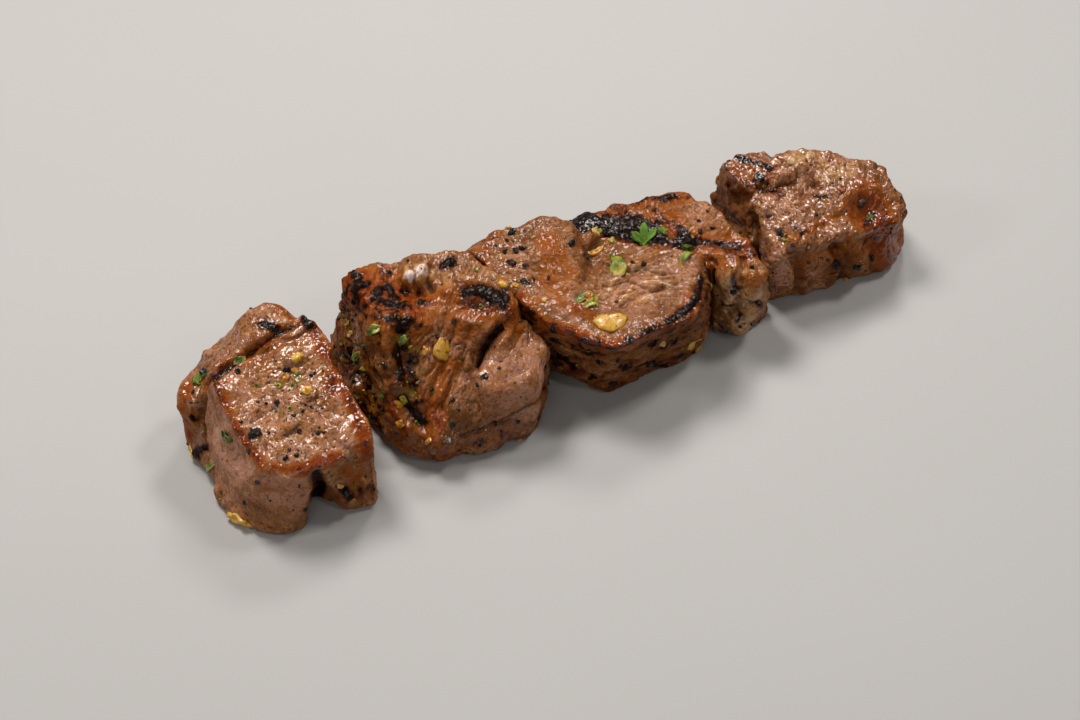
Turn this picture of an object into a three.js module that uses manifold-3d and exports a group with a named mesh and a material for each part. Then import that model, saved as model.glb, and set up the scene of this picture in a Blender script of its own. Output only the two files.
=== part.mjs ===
// A beef kebab: five chunks of marinated, grilled beef in a row, pressed end to end.
// Millimetres, +Z up, the row runs along X and rests on z = 0.
//
// Each chunk is one solid. It is cut from a few lobes, which are knife-cut bodies with soft edges,
// joined where the meat folds over itself. Pepper, herb and garlic are fused to the chunk that they lie on.

import * as THREE from "three";
import { ImprovedNoise } from "three/addons/math/ImprovedNoise.js";
import { mergeVertices } from "three/addons/utils/BufferGeometryUtils.js";
import Module from "manifold-3d";

const wasm = await Module();
wasm.setup();

const UP = new THREE.Vector3(0, 0, 1);

// ---------------------------------------------------------------- driving dimensions

const GAP = 0.4; // between two chunks that press on each other
const EDGE_SOFTNESS = 18; // exponent of a lobe's rounded edges: higher is crisper
const LUMP = { height: 1.8, length: 9 }; // slow swell of the meat
const CRAG = { height: 0.9, length: 3.4 }; // torn, browned roughness
const RIM = { height: 0.7, reach: 0.1 }; // crust that curls up along each knife edge

// A cut is [azimuth of its outward normal from +X, its tilt above the horizon, both in degrees,
// distance from the lobe's middle]. Each lobe's middle is [x, y, z].
const CHUNKS = {
  chunk_1: {
    lobes: [
      {
        middle: [-57, 7, 11],
        detail: 8,
        cuts: {
          top: [-112, 73, 10.6],
          front: [-94, 7, 16.9],
          front_left: [-130, 16, 16.8],
          left: [186, 16, 14],
          right: [0, -3, 13],
          back_right: [35, 5, 21],
          back: [93, 0, 16],
          base: [0, -90, 11.4],
        },
      },
      {
        middle: [-62, 24, 10],
        detail: 6,
        cuts: {
          slope: [172, 54, 11],
          top: [-110, 84, 18],
          left: [194, 0, 13.4],
          back_left: [140, 0, 11],
          front: [-95, 0, 5],
          back: [92, 5, 7.5],
          back_right: [30, 5, 15.5],
          base: [0, -90, 10.5],
        },
      },
    ],
    folds: [],
  },
  chunk_2: {
    lobes: [
      {
        middle: [-20, 13, 13],
        detail: 9,
        cuts: {
          top: [-95, 84, 14.3],
          front: [-112, 44, 13],
          front_low: [-93, -5, 22.5],
          front_left: [-139, 0, 21],
          front_right: [-45, 10, 19],
          left: [181, 14, 15.2],
          back: [76, 5, 15.3],
          right: [14, 5, 18],
          base: [0, -90, 13.5],
        },
      },
      {
        middle: [-9.5, 0, 9],
        detail: 6,
        cuts: {
          top: [-80, 72, 10],
          front: [-95, 10, 9.5],
          front_right: [-45, 0, 9],
          left: [200, 20, 11],
          right: [5, 0, 10],
          back: [90, 0, 10],
          base: [0, -90, 9.5],
        },
      },
    ],
    folds: [
      { line: [[-22, 4, 21]], width: 8, depth: 2 },
      { line: [[-18.7, 22.5, 27]], width: 4, depth: -2 },
    ],
  },
  chunk_3: {
    lobes: [
      {
        middle: [14, 6, 12],
        detail: 10,
        cuts: {
          top: [-92, 80, 13.2],
          front: [-90, -16, 15.2],
          front_left: [-141, -16, 11],
          front_right: [-45, 8, 27],
          right: [-8, 0, 27.5],
          left: [198, 0, 17],
          back: [92, 5, 22],
          back_right: [65, 5, 19.6],
          base: [0, -90, 12.5],
        },
      },
    ],
    folds: [
      { line: [[25, 21, 26], [20, 9, 25], [17, 0, 24]], width: 4, depth: 1.8 },
      { line: [[26, 19, 26], [32, 11, 25]], width: 5.5, depth: 6 },
      { line: [[25, 5, 24.5]], width: 8, depth: 1.4 },
    ],
  },
  chunk_4: {
    lobes: [
      {
        middle: [42, 8, 12],
        detail: 8,
        cuts: {
          top: [236, 73, 9.6],
          back: [74, 5, 15.2],
          front: [-90, -3, 15.5],
          right: [15, 8, 12.4],
          front_right: [-40, 0, 20],
          left: [170, 10, 25],
          base: [0, -90, 12.5],
        },
      },
    ],
    folds: [],
  },
  chunk_5: {
    lobes: [
      {
        middle: [79, 7, 11],
        detail: 8,
        cuts: {
          top: [-95, 68, 11.7],
          front: [-95, -6, 11],
          right: [-10, 14, 20.4],
          front_right: [-50, 5, 19],
          back_right: [55, 22, 15],
          left: [172, 0, 17.5],
          back: [92, 10, 14],
          base: [0, -90, 11.5],
        },
      },
      {
        middle: [67, 16, 14],
        detail: 6,
        cuts: {
          top: [-90, 82, 12.3],
          front: [-95, 20, 9],
          right: [0, 45, 12],
          left: [180, 0, 7],
          back: [88, 5, 8.5],
          base: [0, -90, 13],
        },
      },
    ],
    folds: [],
  },
};

// Where two neighbours press: a point on the plane between them, and the plane's azimuth.
const PRESSED = [
  { between: ["chunk_1", "chunk_2"], at: [-41, 12, 10], azimuth: 4 },
  { between: ["chunk_2", "chunk_3"], at: [-1.5, 8, 10], azimuth: 14 },
  { between: ["chunk_3", "chunk_4"], at: [31.8, 10.8, 10], azimuth: 45 },
  { between: ["chunk_4", "chunk_5"], at: [58.5, 5, 10], azimuth: 6 },
];

// The nearest chunk has split at the foot of its front face.
const SPLIT = { chunk: "chunk_1", foot: [-57, -12, 0], half: [4, 8, 14] };

// Toppings are flattened bodies, half sunk into the chunk. GARLIC_AT and HERB_AT give x and y on the top.
const GARLIC = { size: [6.4, 4, 1.8], detail: 1 };
const HERB = { size: [3.2, 2, 1], detail: 0 };
const PEPPER = { size: [1.9, 1.6, 1.4], detail: 0, each: 10, apart: 5 };
const GARLIC_AT = {
  chunk_1: [[-51, 14], [-52, 6], [-59, 1]],
  chunk_2: [[-22, 4.7]],
  chunk_3: [[14.4, -5.5], [13, 2], [22, 17]],
  chunk_4: [],
  chunk_5: [],
};
const HERB_AT = {
  chunk_1: [[-62, 18], [-69, 25]],
  chunk_2: [[-29, 9], [-31, 16]],
  chunk_3: [[24, 8], [37, 2]],
  chunk_4: [[45, 4]],
  chunk_5: [],
};
const CLEAR = { pressed: 2.2, floor: 3 }; // toppings keep this far from a neighbour and from the ground

// A parsley leaf of three lobes lies on the fourth chunk.
const LEAF = {
  on: "chunk_4",
  at: [34.2, 14],
  turn: 35,
  reach: 3.6,
  thickness: 0.35,
  lift: 0.5,
  wave: 0.25,
  around: 30,
  rings: 4,
};

const COLOURS = {
  chunk_1: 0xb27a5c,
  chunk_2: 0x8c5637,
  chunk_3: 0xa56c4a,
  chunk_4: 0x82492f,
  chunk_5: 0xa96c48,
  parsley_leaf: 0x4c7f2a,
};

// ---------------------------------------------------------------- meat

const noise = new ImprovedNoise();
const swell = ({ x, y, z }, length, seed) =>
  noise.noise(x / length + seed, y / length - seed, z / length + 7.3);

function normalOf([azimuth, tilt]) {
  const a = THREE.MathUtils.degToRad(azimuth);
  const t = THREE.MathUtils.degToRad(tilt);
  return new THREE.Vector3(Math.cos(a) * Math.cos(t), Math.sin(a) * Math.cos(t), Math.sin(t));
}

// 1 on the fold's line, falling to nothing a couple of widths away.
function nearness(p, { line, width }) {
  const points = line.map((at) => new THREE.Vector3(...at));
  const closest = new THREE.Vector3();
  const away = points.map((point, i) => {
    const stretch = new THREE.Line3(point, points[Math.min(i + 1, points.length - 1)]);
    if (stretch.distanceSq() === 0) return point.distanceTo(p);
    return stretch.closestPointToPoint(p, true, closest).distanceTo(p);
  });
  return Math.exp(-((Math.min(...away) / width) ** 2));
}

// How far a lobe's surface lies from its middle along the unit vector u.
function reach({ lobe, folds, seed }, u) {
  const shares = Object.values(lobe.cuts)
    .map((cut) => Math.max(0, u.dot(normalOf(cut)) / cut[2]))
    .sort((a, b) => b - a);
  const bare = shares.reduce((sum, s) => sum + s ** EDGE_SOFTNESS, 0) ** (-1 / EDGE_SOFTNESS);
  const p = new THREE.Vector3(...lobe.middle).addScaledVector(u, bare);
  const nearEdge = Math.exp(-(((1 - shares[1] / shares[0]) / RIM.reach) ** 2));
  const folded = folds.reduce((sum, fold) => sum + fold.depth * nearness(p, fold), 0);
  return (
    bare -
    folded +
    RIM.height * nearEdge +
    LUMP.height * swell(p, LUMP.length, seed) +
    CRAG.height * swell(p, CRAG.length, seed + 31)
  );
}

function lobeGeometry(lobe, folds, seed) {
  const sphere = new THREE.IcosahedronGeometry(1, lobe.detail);
  const place = sphere.getAttribute("position");
  const middle = new THREE.Vector3(...lobe.middle);
  const u = new THREE.Vector3();
  for (let i = 0; i < place.count; i++) {
    u.fromBufferAttribute(place, i).normalize();
    const p = middle.clone().addScaledVector(u, reach({ lobe, folds, seed }, u));
    place.setXYZ(i, p.x, p.y, p.z);
  }
  return sphere;
}

// ---------------------------------------------------------------- joining and cutting

function solidOf(geometry) {
  const bare = geometry.clone();
  for (const name of Object.keys(bare.attributes)) if (name !== "position") bare.deleteAttribute(name);
  const merged = mergeVertices(bare, 1e-4);
  return new wasm.Manifold(
    new wasm.Mesh({
      numProp: 3,
      vertProperties: merged.getAttribute("position").array,
      triVerts: new Uint32Array(merged.index.array),
    }),
  );
}

function geometryOf(solid) {
  const { vertProperties, triVerts, numProp, numVert } = solid.getMesh();
  const places = new Float32Array(numVert * 3);
  for (let i = 0; i < numVert; i++) {
    places.set(vertProperties.subarray(i * numProp, i * numProp + 3), i * 3);
  }
  const geometry = new THREE.BufferGeometry();
  geometry.setAttribute("position", new THREE.BufferAttribute(places, 3));
  geometry.setIndex(new THREE.BufferAttribute(new Uint32Array(triVerts), 1));
  geometry.computeVertexNormals();
  return geometry;
}

const BLOCK = 400; // a side of the blocks that trim a chunk to a plane

// Everything on the far side of the plane through `at` whose normal is `normal`.
function beyond(at, normal) {
  const block = new THREE.BoxGeometry(BLOCK, BLOCK, BLOCK);
  block.translate(0, 0, BLOCK / 2);
  block.applyQuaternion(new THREE.Quaternion().setFromUnitVectors(UP, normal));
  block.translate(at.x, at.y, at.z);
  return solidOf(block);
}

// The planes that end a chunk where its neighbours press on it, as { at, outward }.
function pressedPlanes(name) {
  return PRESSED.filter((face) => face.between.includes(name)).map((face) => {
    const outward = normalOf([face.azimuth, 0]).multiplyScalar(face.between[0] === name ? 1 : -1);
    return { at: new THREE.Vector3(...face.at).addScaledVector(outward, -GAP / 2), outward };
  });
}

function split() {
  const wedge = new THREE.SphereGeometry(1, 20, 12);
  wedge.scale(...SPLIT.half);
  wedge.translate(...SPLIT.foot);
  return solidOf(wedge);
}

function bareChunk(name, seed) {
  const { lobes, folds } = CHUNKS[name];
  let solid = lobes
    .map((lobe, i) => solidOf(lobeGeometry(lobe, folds, seed + 5 * i)))
    .reduce((whole, lobe) => whole.add(lobe));
  if (name === SPLIT.chunk) solid = solid.subtract(split());
  solid = solid.subtract(beyond(new THREE.Vector3(), UP.clone().negate()));
  for (const { at, outward } of pressedPlanes(name)) solid = solid.subtract(beyond(at, outward));
  return solid;
}

// ---------------------------------------------------------------- toppings

const FAR = 150; // where the rays that find the surface start

// Where a ray from outside first meets the meat, and the outward normal there.
function meet(geometry, from, towards) {
  const mesh = new THREE.Mesh(geometry, new THREE.MeshBasicMaterial({ side: THREE.DoubleSide }));
  const [hit] = new THREE.Raycaster(from, towards.clone().normalize()).intersectObject(mesh);
  return hit && { point: hit.point, normal: hit.face.normal.clone() };
}

const fromAbove = (geometry, x, y) => meet(geometry, new THREE.Vector3(x, y, FAR), UP.clone().negate());

// A flattened body of the topping's size, centred on the surface and turned by `spin` about its normal.
function toppingSolid({ size, detail }, { point, normal }, spin) {
  const body = new THREE.IcosahedronGeometry(0.5, detail);
  body.scale(...size);
  body.rotateZ(spin);
  body.applyQuaternion(new THREE.Quaternion().setFromUnitVectors(UP, normal));
  body.translate(point.x, point.y, point.z);
  return solidOf(body);
}

function isClear(name, point) {
  const planes = pressedPlanes(name);
  const depth = ({ at, outward }) => at.clone().sub(point).dot(outward);
  return point.z > CLEAR.floor && planes.every((plane) => depth(plane) > CLEAR.pressed);
}

// Pepper lies anywhere that shows: random directions out of the chunk's middle, kept apart.
function pepperPlaces(name, geometry, taken) {
  const middle = new THREE.Vector3(...CHUNKS[name].lobes[0].middle);
  const random = THREE.MathUtils.seededRandom;
  const places = [];
  while (places.length < PEPPER.each) {
    const outward = normalOf([360 * random(), 95 * random() - 15]);
    const hit = meet(geometry, middle.clone().addScaledVector(outward, FAR), outward.clone().negate());
    if (!hit || !isClear(name, hit.point)) continue;
    if ([...taken, ...places].some(({ point }) => point.distanceTo(hit.point) < PEPPER.apart)) continue;
    places.push(hit);
  }
  return places;
}

function chunkGeometry(name, seed) {
  let solid = bareChunk(name, seed);
  const bare = geometryOf(solid);
  THREE.MathUtils.seededRandom(seed);
  const lying = (list) => list.map(([x, y]) => fromAbove(bare, x, y));
  const garlic = lying(GARLIC_AT[name]);
  const herb = lying(HERB_AT[name]);
  const pepper = pepperPlaces(name, bare, [...garlic, ...herb]);
  const kinds = [[GARLIC, garlic], [HERB, herb], [PEPPER, pepper]];
  for (const [kind, places] of kinds) {
    places.forEach((place, i) => {
      solid = solid.add(toppingSolid(kind, place, 1.7 * i));
    });
  }
  return geometryOf(solid);
}

// ---------------------------------------------------------------- parsley

// How far the leaf's rim lies from its middle: three lobes, each with small teeth.
function rimReach(angle) {
  const lobes = Math.abs(Math.cos(1.5 * angle)) ** 0.7;
  const teeth = 0.08 * Math.cos(15 * angle);
  return LEAF.reach * (0.45 + 0.55 * lobes + teeth);
}

// Both faces are the same fan of rings, the upper one a thickness above the lower.
function leafGeometry(bed) {
  const places = [];
  const turn = THREE.MathUtils.degToRad(LEAF.turn);
  for (const height of [LEAF.lift, LEAF.lift + LEAF.thickness]) {
    for (let ring = 0; ring <= LEAF.rings; ring++) {
      for (let i = 0; i < (ring ? LEAF.around : 1); i++) {
        const angle = (2 * Math.PI * i) / LEAF.around;
        const r = (rimReach(angle) * ring) / LEAF.rings;
        const x = LEAF.at[0] + r * Math.cos(angle + turn);
        const y = LEAF.at[1] + r * Math.sin(angle + turn);
        const wave = LEAF.wave * (ring / LEAF.rings) * (1 + Math.sin(3 * angle));
        places.push(x, y, fromAbove(bed, x, y).point.z + height + wave);
      }
    }
  }
  const inFace = 1 + LEAF.rings * LEAF.around;
  const triangles = [];
  for (let i = 0; i < LEAF.around; i++) {
    const at = (side, ring, step) => {
      const inRing = ring ? 1 + (ring - 1) * LEAF.around + ((i + step) % LEAF.around) : 0;
      return side * inFace + inRing;
    };
    for (const side of [0, 1]) {
      const facing = (a, b, c) => triangles.push(a, side ? b : c, side ? c : b);
      for (let ring = 0; ring < LEAF.rings; ring++) {
        facing(at(side, ring, 0), at(side, ring + 1, 0), at(side, ring + 1, 1));
        if (ring) facing(at(side, ring, 0), at(side, ring + 1, 1), at(side, ring, 1));
      }
    }
    const last = LEAF.rings;
    triangles.push(at(0, last, 0), at(0, last, 1), at(1, last, 1));
    triangles.push(at(0, last, 0), at(1, last, 1), at(1, last, 0));
  }
  const geometry = new THREE.BufferGeometry();
  geometry.setAttribute("position", new THREE.Float32BufferAttribute(places, 3));
  geometry.setIndex(triangles);
  geometry.computeVertexNormals();
  return geometry;
}

// ---------------------------------------------------------------- the whole row

function meshOf(name, geometry, roughness) {
  const mesh = new THREE.Mesh(
    geometry,
    new THREE.MeshStandardMaterial({ color: COLOURS[name], roughness, metalness: 0 }),
  );
  mesh.name = name;
  return mesh;
}

const kebab = new THREE.Group();
Object.keys(CHUNKS).forEach((name, i) => {
  kebab.add(meshOf(name, chunkGeometry(name, 3 + 11 * i), 0.45));
});
const bed = kebab.getObjectByName(LEAF.on).geometry;
kebab.add(meshOf("parsley_leaf", leafGeometry(bed), 0.6));

// The frame's origin is the middle of the row's box, on the ground.
const middle = new THREE.Box3().setFromObject(kebab).getCenter(new THREE.Vector3());
kebab.position.set(-middle.x, -middle.y, 0);

export default kebab;
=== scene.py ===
import math

import bmesh
import bpy
import numpy as np
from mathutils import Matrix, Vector
from mathutils.bvhtree import BVHTree


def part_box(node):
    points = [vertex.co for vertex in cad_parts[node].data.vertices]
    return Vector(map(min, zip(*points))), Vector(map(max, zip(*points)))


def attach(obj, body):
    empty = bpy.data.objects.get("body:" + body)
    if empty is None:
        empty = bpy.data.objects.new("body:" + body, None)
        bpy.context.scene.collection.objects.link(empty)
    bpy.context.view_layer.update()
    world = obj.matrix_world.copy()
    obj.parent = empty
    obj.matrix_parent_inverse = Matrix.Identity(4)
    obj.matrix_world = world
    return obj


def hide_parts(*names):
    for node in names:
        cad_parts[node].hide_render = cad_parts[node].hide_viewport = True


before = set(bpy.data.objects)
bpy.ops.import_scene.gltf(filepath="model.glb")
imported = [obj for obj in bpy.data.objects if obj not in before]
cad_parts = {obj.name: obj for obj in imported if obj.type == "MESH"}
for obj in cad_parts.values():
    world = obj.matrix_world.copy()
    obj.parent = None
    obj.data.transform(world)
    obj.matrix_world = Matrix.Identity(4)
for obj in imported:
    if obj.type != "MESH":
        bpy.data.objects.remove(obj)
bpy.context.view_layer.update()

# ---- The table, the soft light over it and the place of the eye ----
# A pale matt table top, a soft lamp above and behind the row, small lamps that
# put the sparks on the wet meat, and a wide, weak one from the front.

MM = 0.001
PICTURE_WIDTH = 1080
PICTURE_HEIGHT = 720
SENSOR_MM = 36.0
LENS_MM = 57.0
EYE_TURN = math.radians(-28)
EYE_RISE = math.radians(48)
EYE_AWAY = 380 * MM
LOOKED_AT = Vector((-13.863, -10.133, 12)) * MM


def put(tree, kind, fill=(), **settings):
    """Adds a node; fill gives its inputs as numbers or as the sockets they are joined to."""
    made = tree.nodes.new(kind)
    for name, value in settings.items():
        setattr(made, name, value)
    for key, value in dict(fill).items():
        if isinstance(value, bpy.types.NodeSocket):
            tree.links.new(value, made.inputs[key])
        else:
            made.inputs[key].default_value = value
    return made


def blank_material(name):
    """A material with an empty tree, that tree, and the socket of the place on the piece."""
    material = bpy.data.materials.new(name)
    material.use_nodes = True
    tree = material.node_tree
    tree.nodes.clear()
    return material, tree, put(tree, "ShaderNodeTexCoord").outputs["Object"]


def mottling(tree, place, scale, detail=2.0, rough=0.5, bend=0.0):
    """The socket of a noise's value over a place."""
    return put(tree, "ShaderNodeTexNoise", {
        "Vector": place, "Scale": scale, "Detail": detail, "Roughness": rough, "Distortion": bend,
    }).outputs["Fac"]


def mixed(tree, share, low, high):
    """The socket of a colour between two others."""
    return put(tree, "ShaderNodeMix", {0: share, 6: low, 7: high}, data_type="RGBA").outputs[2]


def lay(tree, finish):
    """Ends a material's tree in one surface with that finish."""
    surface = put(tree, "ShaderNodeBsdfPrincipled", finish)
    put(tree, "ShaderNodeOutputMaterial", {"Surface": surface.outputs["BSDF"]})


def show(mesh, name):
    """Puts a mesh in the scene as an object at the origin."""
    thing = bpy.data.objects.new(name, mesh)
    bpy.context.scene.collection.objects.link(thing)
    return thing


towards_eye = Vector((
    math.sin(EYE_TURN) * math.cos(EYE_RISE),
    -math.cos(EYE_TURN) * math.cos(EYE_RISE),
    math.sin(EYE_RISE),
))
camera = bpy.data.objects.new("camera", bpy.data.cameras.new("camera"))
bpy.context.scene.collection.objects.link(camera)
camera.data.sensor_width = SENSOR_MM
camera.data.lens = LENS_MM
camera.data.clip_start = 10 * MM
camera.rotation_mode = "QUATERNION"
camera.rotation_quaternion = (-towards_eye).to_track_quat("-Z", "Y")
camera.location = LOOKED_AT + towards_eye * EYE_AWAY
bpy.context.scene.camera = camera


def sight(across, down):
    """Where the eye is, and the direction in which it sees a place of the picture."""
    reach = PICTURE_WIDTH * LENS_MM / SENSOR_MM
    ahead = Vector((
        (across - PICTURE_WIDTH / 2) / reach,
        (PICTURE_HEIGHT / 2 - down) / reach,
        -1,
    ))
    return camera.location.copy(), (camera.rotation_quaternion @ ahead).normalized()


def add_lamp(name, place, width, watts, colour):
    """A square lamp that faces the middle of the row."""
    lamp = bpy.data.objects.new(name, bpy.data.lights.new(name, "AREA"))
    bpy.context.scene.collection.objects.link(lamp)
    lamp.data.size = width
    lamp.data.energy = watts
    lamp.data.color = colour
    lamp.location = place
    lamp.rotation_mode = "QUATERNION"
    lamp.rotation_quaternion = (-Vector(place)).to_track_quat("-Z", "Y")


LAMPS = (
    ("soft lamp", (-0.10, 0.32, 0.63), 0.20, 3.1, (1.0, 0.95, 0.90)),
    ("spark lamp", (0.28, 0.33, 0.45), 0.12, 1.15, (1.0, 0.97, 0.94)),
    ("rear spark", (-0.12, 0.36, 0.48), 0.09, 0.35, (1.0, 0.97, 0.94)),
    ("side spark", (-0.50, 0.10, 0.38), 0.09, 0.50, (1.0, 0.97, 0.94)),
    ("low spark", (0.10, -0.40, 0.50), 0.08, 0.30, (1.0, 0.97, 0.94)),
    ("end spark", (0.33, -0.02, 0.55), 0.11, 1.2, (1.0, 0.96, 0.93)),
    ("front lamp", (-0.45, -0.50, 0.55), 0.50, 0.80, (1.0, 0.97, 0.95)),
)
for lamp in LAMPS:
    add_lamp(*lamp)

ROOM_COLOUR = (0.90, 0.86, 0.81, 1)
ROOM_LIGHT = 0.065
world = bpy.data.worlds.new("room")
world.use_nodes = True
room = world.node_tree.nodes["Background"].inputs
room["Color"].default_value = ROOM_COLOUR
room["Strength"].default_value = ROOM_LIGHT
bpy.context.scene.world = world
bpy.context.scene.view_settings.view_transform = "Standard"

table_material, tree, place = blank_material("pale table")
haze = mottling(tree, place, 6.0, 3.0)
tint = mixed(tree, haze, (0.42, 0.415, 0.405, 1), (0.46, 0.455, 0.445, 1))
lay(tree, {"Base Color": tint, "Roughness": 0.7})
TABLE_HALF = 4.0
table_mesh = bpy.data.meshes.new("table")
corners = [(x * TABLE_HALF, y * TABLE_HALF, 0) for x, y in ((-1, -1), (1, -1), (1, 1), (-1, 1))]
table_mesh.from_pydata(corners, [], [(0, 1, 2, 3)])
table_mesh.materials.append(table_material)
show(table_mesh, "table")


# ---- chunk_1: the end chunk, at the left ----
# A cube of beef with a wet, pebbly cut face on top, browned along its edges, a
# folded slab behind a dark seam, and a split with a small lobe at its foot.

SKIN_MM = 0.28
LOWEST_MM = 0.02
SKIN_ROUNDS = 30
BROAD_ROUNDS = 250
PIT_ROUNDS = 14
FOOT_MM = 6.0
PIT_MM = 0.08
BROWN_TO = 0.75
STROKE_STEP = 9
# Faces turned this way are seared darker as painted shade.
SHADED_SIDE = (-0.47, 0.88, 0)
ATTRIBUTES = ("sear", "glaze", "fat", "pink", "wet", "sleek", "pits", "herby")


def scattered(cell, most):
    """Three numbers from 0 to 255 / most for each cell, the same ones for the same cell."""
    digits = (cell[:, 0] * 73856093) ^ (cell[:, 1] * 19349663) ^ (cell[:, 2] * 83492791)
    digits = ((digits ^ (digits >> 13)) * 1274126177) & 0x7FFFFFFF
    return np.stack([(digits >> shift) % 255 / most for shift in (3, 11, 19)], 1)


def noise_at(points, size, seed):
    """Smooth noise of about -1 to 1 at each point, with lumps of that size."""
    points = points / size + (seed * 7.31, seed * 3.17, seed * 5.73)
    cell = np.floor(points).astype(np.int64)
    part = points - cell
    ease = part * part * part * (part * (part * 6 - 15) + 10)
    total = np.zeros(len(points))
    for corner in np.ndindex(2, 2, 2):
        slope = scattered(cell + corner, 127.0) - 1
        share = np.where(corner, ease, 1 - ease).prod(1)
        total += share * ((part - corner) * slope).sum(1)
    return total * 1.35


def bubbles_at(points, size, seed):
    """Round domes packed side by side: 1 in the middle of each and 0 between them."""
    points = points / size + (seed * 3.9, seed * 1.7, seed * 2.3)
    cell = np.floor(points).astype(np.int64)
    nearest = np.full(len(points), 9.0)
    for step in np.ndindex(3, 3, 3):
        at = cell + step - 1
        seat = at + scattered(at, 255.0)
        nearest = np.minimum(nearest, ((points - seat) ** 2).sum(1))
    return np.clip(1 - nearest * 1.3, 0, 1) ** 0.5


def step_up(values, low, high):
    """0 below low, 1 above high, and a smooth rise between them."""
    part = np.clip((values - low) / (high - low), 0, 1)
    return part * part * (3 - 2 * part)


def points_of(mesh):
    """The mesh's points, in millimetres."""
    flat = np.empty(len(mesh.vertices) * 3)
    mesh.vertices.foreach_get("co", flat)
    return flat.reshape(-1, 3) / MM


class Chunk:
    """One chunk of beef: its fine skin in millimetres, and what the fire did to it."""

    def __init__(self, node, seed, fibres):
        self.node = node
        self.seed = seed
        body = bmesh.new()
        body.from_mesh(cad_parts[node].data)
        bmesh.ops.remove_doubles(body, verts=body.verts, dist=1e-6)
        self.solid = BVHTree.FromBMesh(body)
        rough = bpy.data.meshes.new(node)
        body.to_mesh(rough)
        body.free()
        blank = show(rough, "blank")
        even = blank.modifiers.new("even", "REMESH")
        even.mode = "VOXEL"
        even.voxel_size = SKIN_MM * MM
        ease = blank.modifiers.new("ease", "SMOOTH")
        ease.iterations = BROAD_ROUNDS
        self.broad = points_of(self.evaluated(blank))
        ease.iterations = SKIN_ROUNDS
        self.mesh = self.evaluated(blank)
        bpy.data.objects.remove(blank)
        self.points = points_of(self.mesh)
        low = 1 - step_up(self.points[:, 2], 1.0, FOOT_MM)
        self.points += (self.broad - self.points) * (0.8 * low)[:, None]
        corners = np.empty(len(self.mesh.loops), np.int64)
        self.mesh.loops.foreach_get("vertex_index", corners)
        self.quads = corners.reshape(-1, 4)
        self.normals = self.outward()
        self.proud = ((self.points - self.broad) * self.normals).sum(1)
        self.up = self.normals[:, 2]
        along = np.array(fibres, float)
        along /= np.linalg.norm(along)
        sway = np.stack([noise_at(self.points, 7, seed + turn) for turn in (1, 2, 3)], 1)
        wavy = self.points + sway * 1.6
        self.grain = wavy - np.outer(wavy @ along, along) * 0.86
        self.flicker = noise_at(self.points, 1.2, seed + 33)
        self.patches = noise_at(self.points, 3.2, seed + 13)
        self.relief, self.peppery = np.zeros((2, len(self.points)))
        for name in ATTRIBUTES:
            setattr(self, name, np.zeros(len(self.points)))

    def evaluated(self, thing):
        """The mesh that the object's modifiers make."""
        view = bpy.context.evaluated_depsgraph_get()
        return bpy.data.meshes.new_from_object(thing.evaluated_get(view))

    def outward(self):
        """The skin's normal at each point."""
        a, b, c, d = (self.points[self.quads[:, i]] for i in range(4))
        face = np.cross(c - a, d - b)
        total = np.zeros_like(self.points)
        for corner in range(4):
            for axis in range(3):
                total[:, axis] += np.bincount(
                    self.quads[:, corner], face[:, axis], len(self.points)
                )
        return total / np.linalg.norm(total, axis=1)[:, None]

    def spot(self, across, down):
        """The place on the chunk, in millimetres, that the eye sees there in the picture."""
        eye, ahead = sight(across, down)
        hit = self.solid.ray_cast(eye, ahead)[0]
        if hit is None:
            middle = Vector(self.points.mean(0)) * MM
            hit = self.solid.find_nearest(eye + ahead * (middle - eye).dot(ahead))[0]
        return np.array(hit) / MM

    def near(self, width, path, ragged=0.45):
        """1 along a path over the skin and 0 from width millimetres on, with a ragged edge."""
        route = [path[0]]
        for start, end in zip(path, path[1:]):
            steps = max(1, round(math.dist(start, end) / STROKE_STEP))
            route += [tuple(np.array(start) + (np.array(end) - start) * step / steps)
                      for step in range(1, steps + 1)]
        places = np.array([self.spot(*place) for place in route])
        reach = width * 2.2
        inside = (self.points > places.min(0) - reach) & (self.points < places.max(0) + reach)
        close = np.flatnonzero(inside.all(1))
        around = self.points[close]
        gap = np.full(len(close), 1e9)
        for start, end in zip(places, places[1:] if len(places) > 1 else places):
            run = end - start
            share = np.clip((around - start) @ run / max(run @ run, 1e-9), 0, 1)
            gap = np.minimum(gap, np.linalg.norm(around - start - share[:, None] * run, axis=1))
        fray = 1.2 * noise_at(around, width * 0.9 + 0.4, self.seed + 31)
        fray += 0.6 * noise_at(around, width * 0.3 + 0.3, self.seed + 32)
        share = np.zeros(len(self.points))
        share[close] = step_up(1 - gap / width * (1 + ragged * fray), 0, 1)
        return share

    def burn(self, heat, width, patchy, path, **edge):
        """Sears the skin along a path, from 0 for raw to 1 for char, evenly or in patches."""
        heat = heat + patchy * (0.6 * self.flicker + 0.8 * self.patches)
        self.sear = np.maximum(self.sear, heat * self.near(width, path, **edge))

    def brown(self, share, width, patchy, path):
        """Browns the juices along a path, from 0 for none to 1 for red-orange."""
        share = share + patchy * (0.5 * self.flicker + 0.7 * self.patches)
        self.glaze = np.maximum(self.glaze, share * self.near(width, path))

    def blush(self, share, width, path):
        """Leaves the meat pink along a path."""
        self.pink = np.maximum(self.pink, share * self.near(width, path))

    def smooth(self, share, width, path):
        """Takes that share of the meat's own relief away along a path."""
        self.sleek = np.maximum(self.sleek, share * self.near(width, path))

    def calm(self, share, width, path, **edge):
        """Takes that share of the searing and browning away along a path."""
        kept = 1 - share * self.near(width, path, **edge)
        self.sear *= kept
        self.glaze *= kept

    def baste(self, share, width, path):
        """Leaves the skin wet along a path."""
        self.wet = np.maximum(self.wet, share * self.near(width, path))

    def dry(self, share, width, path):
        """Takes that share of the wetness away along a path."""
        self.wet *= 1 - share * self.near(width, path)

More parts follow.
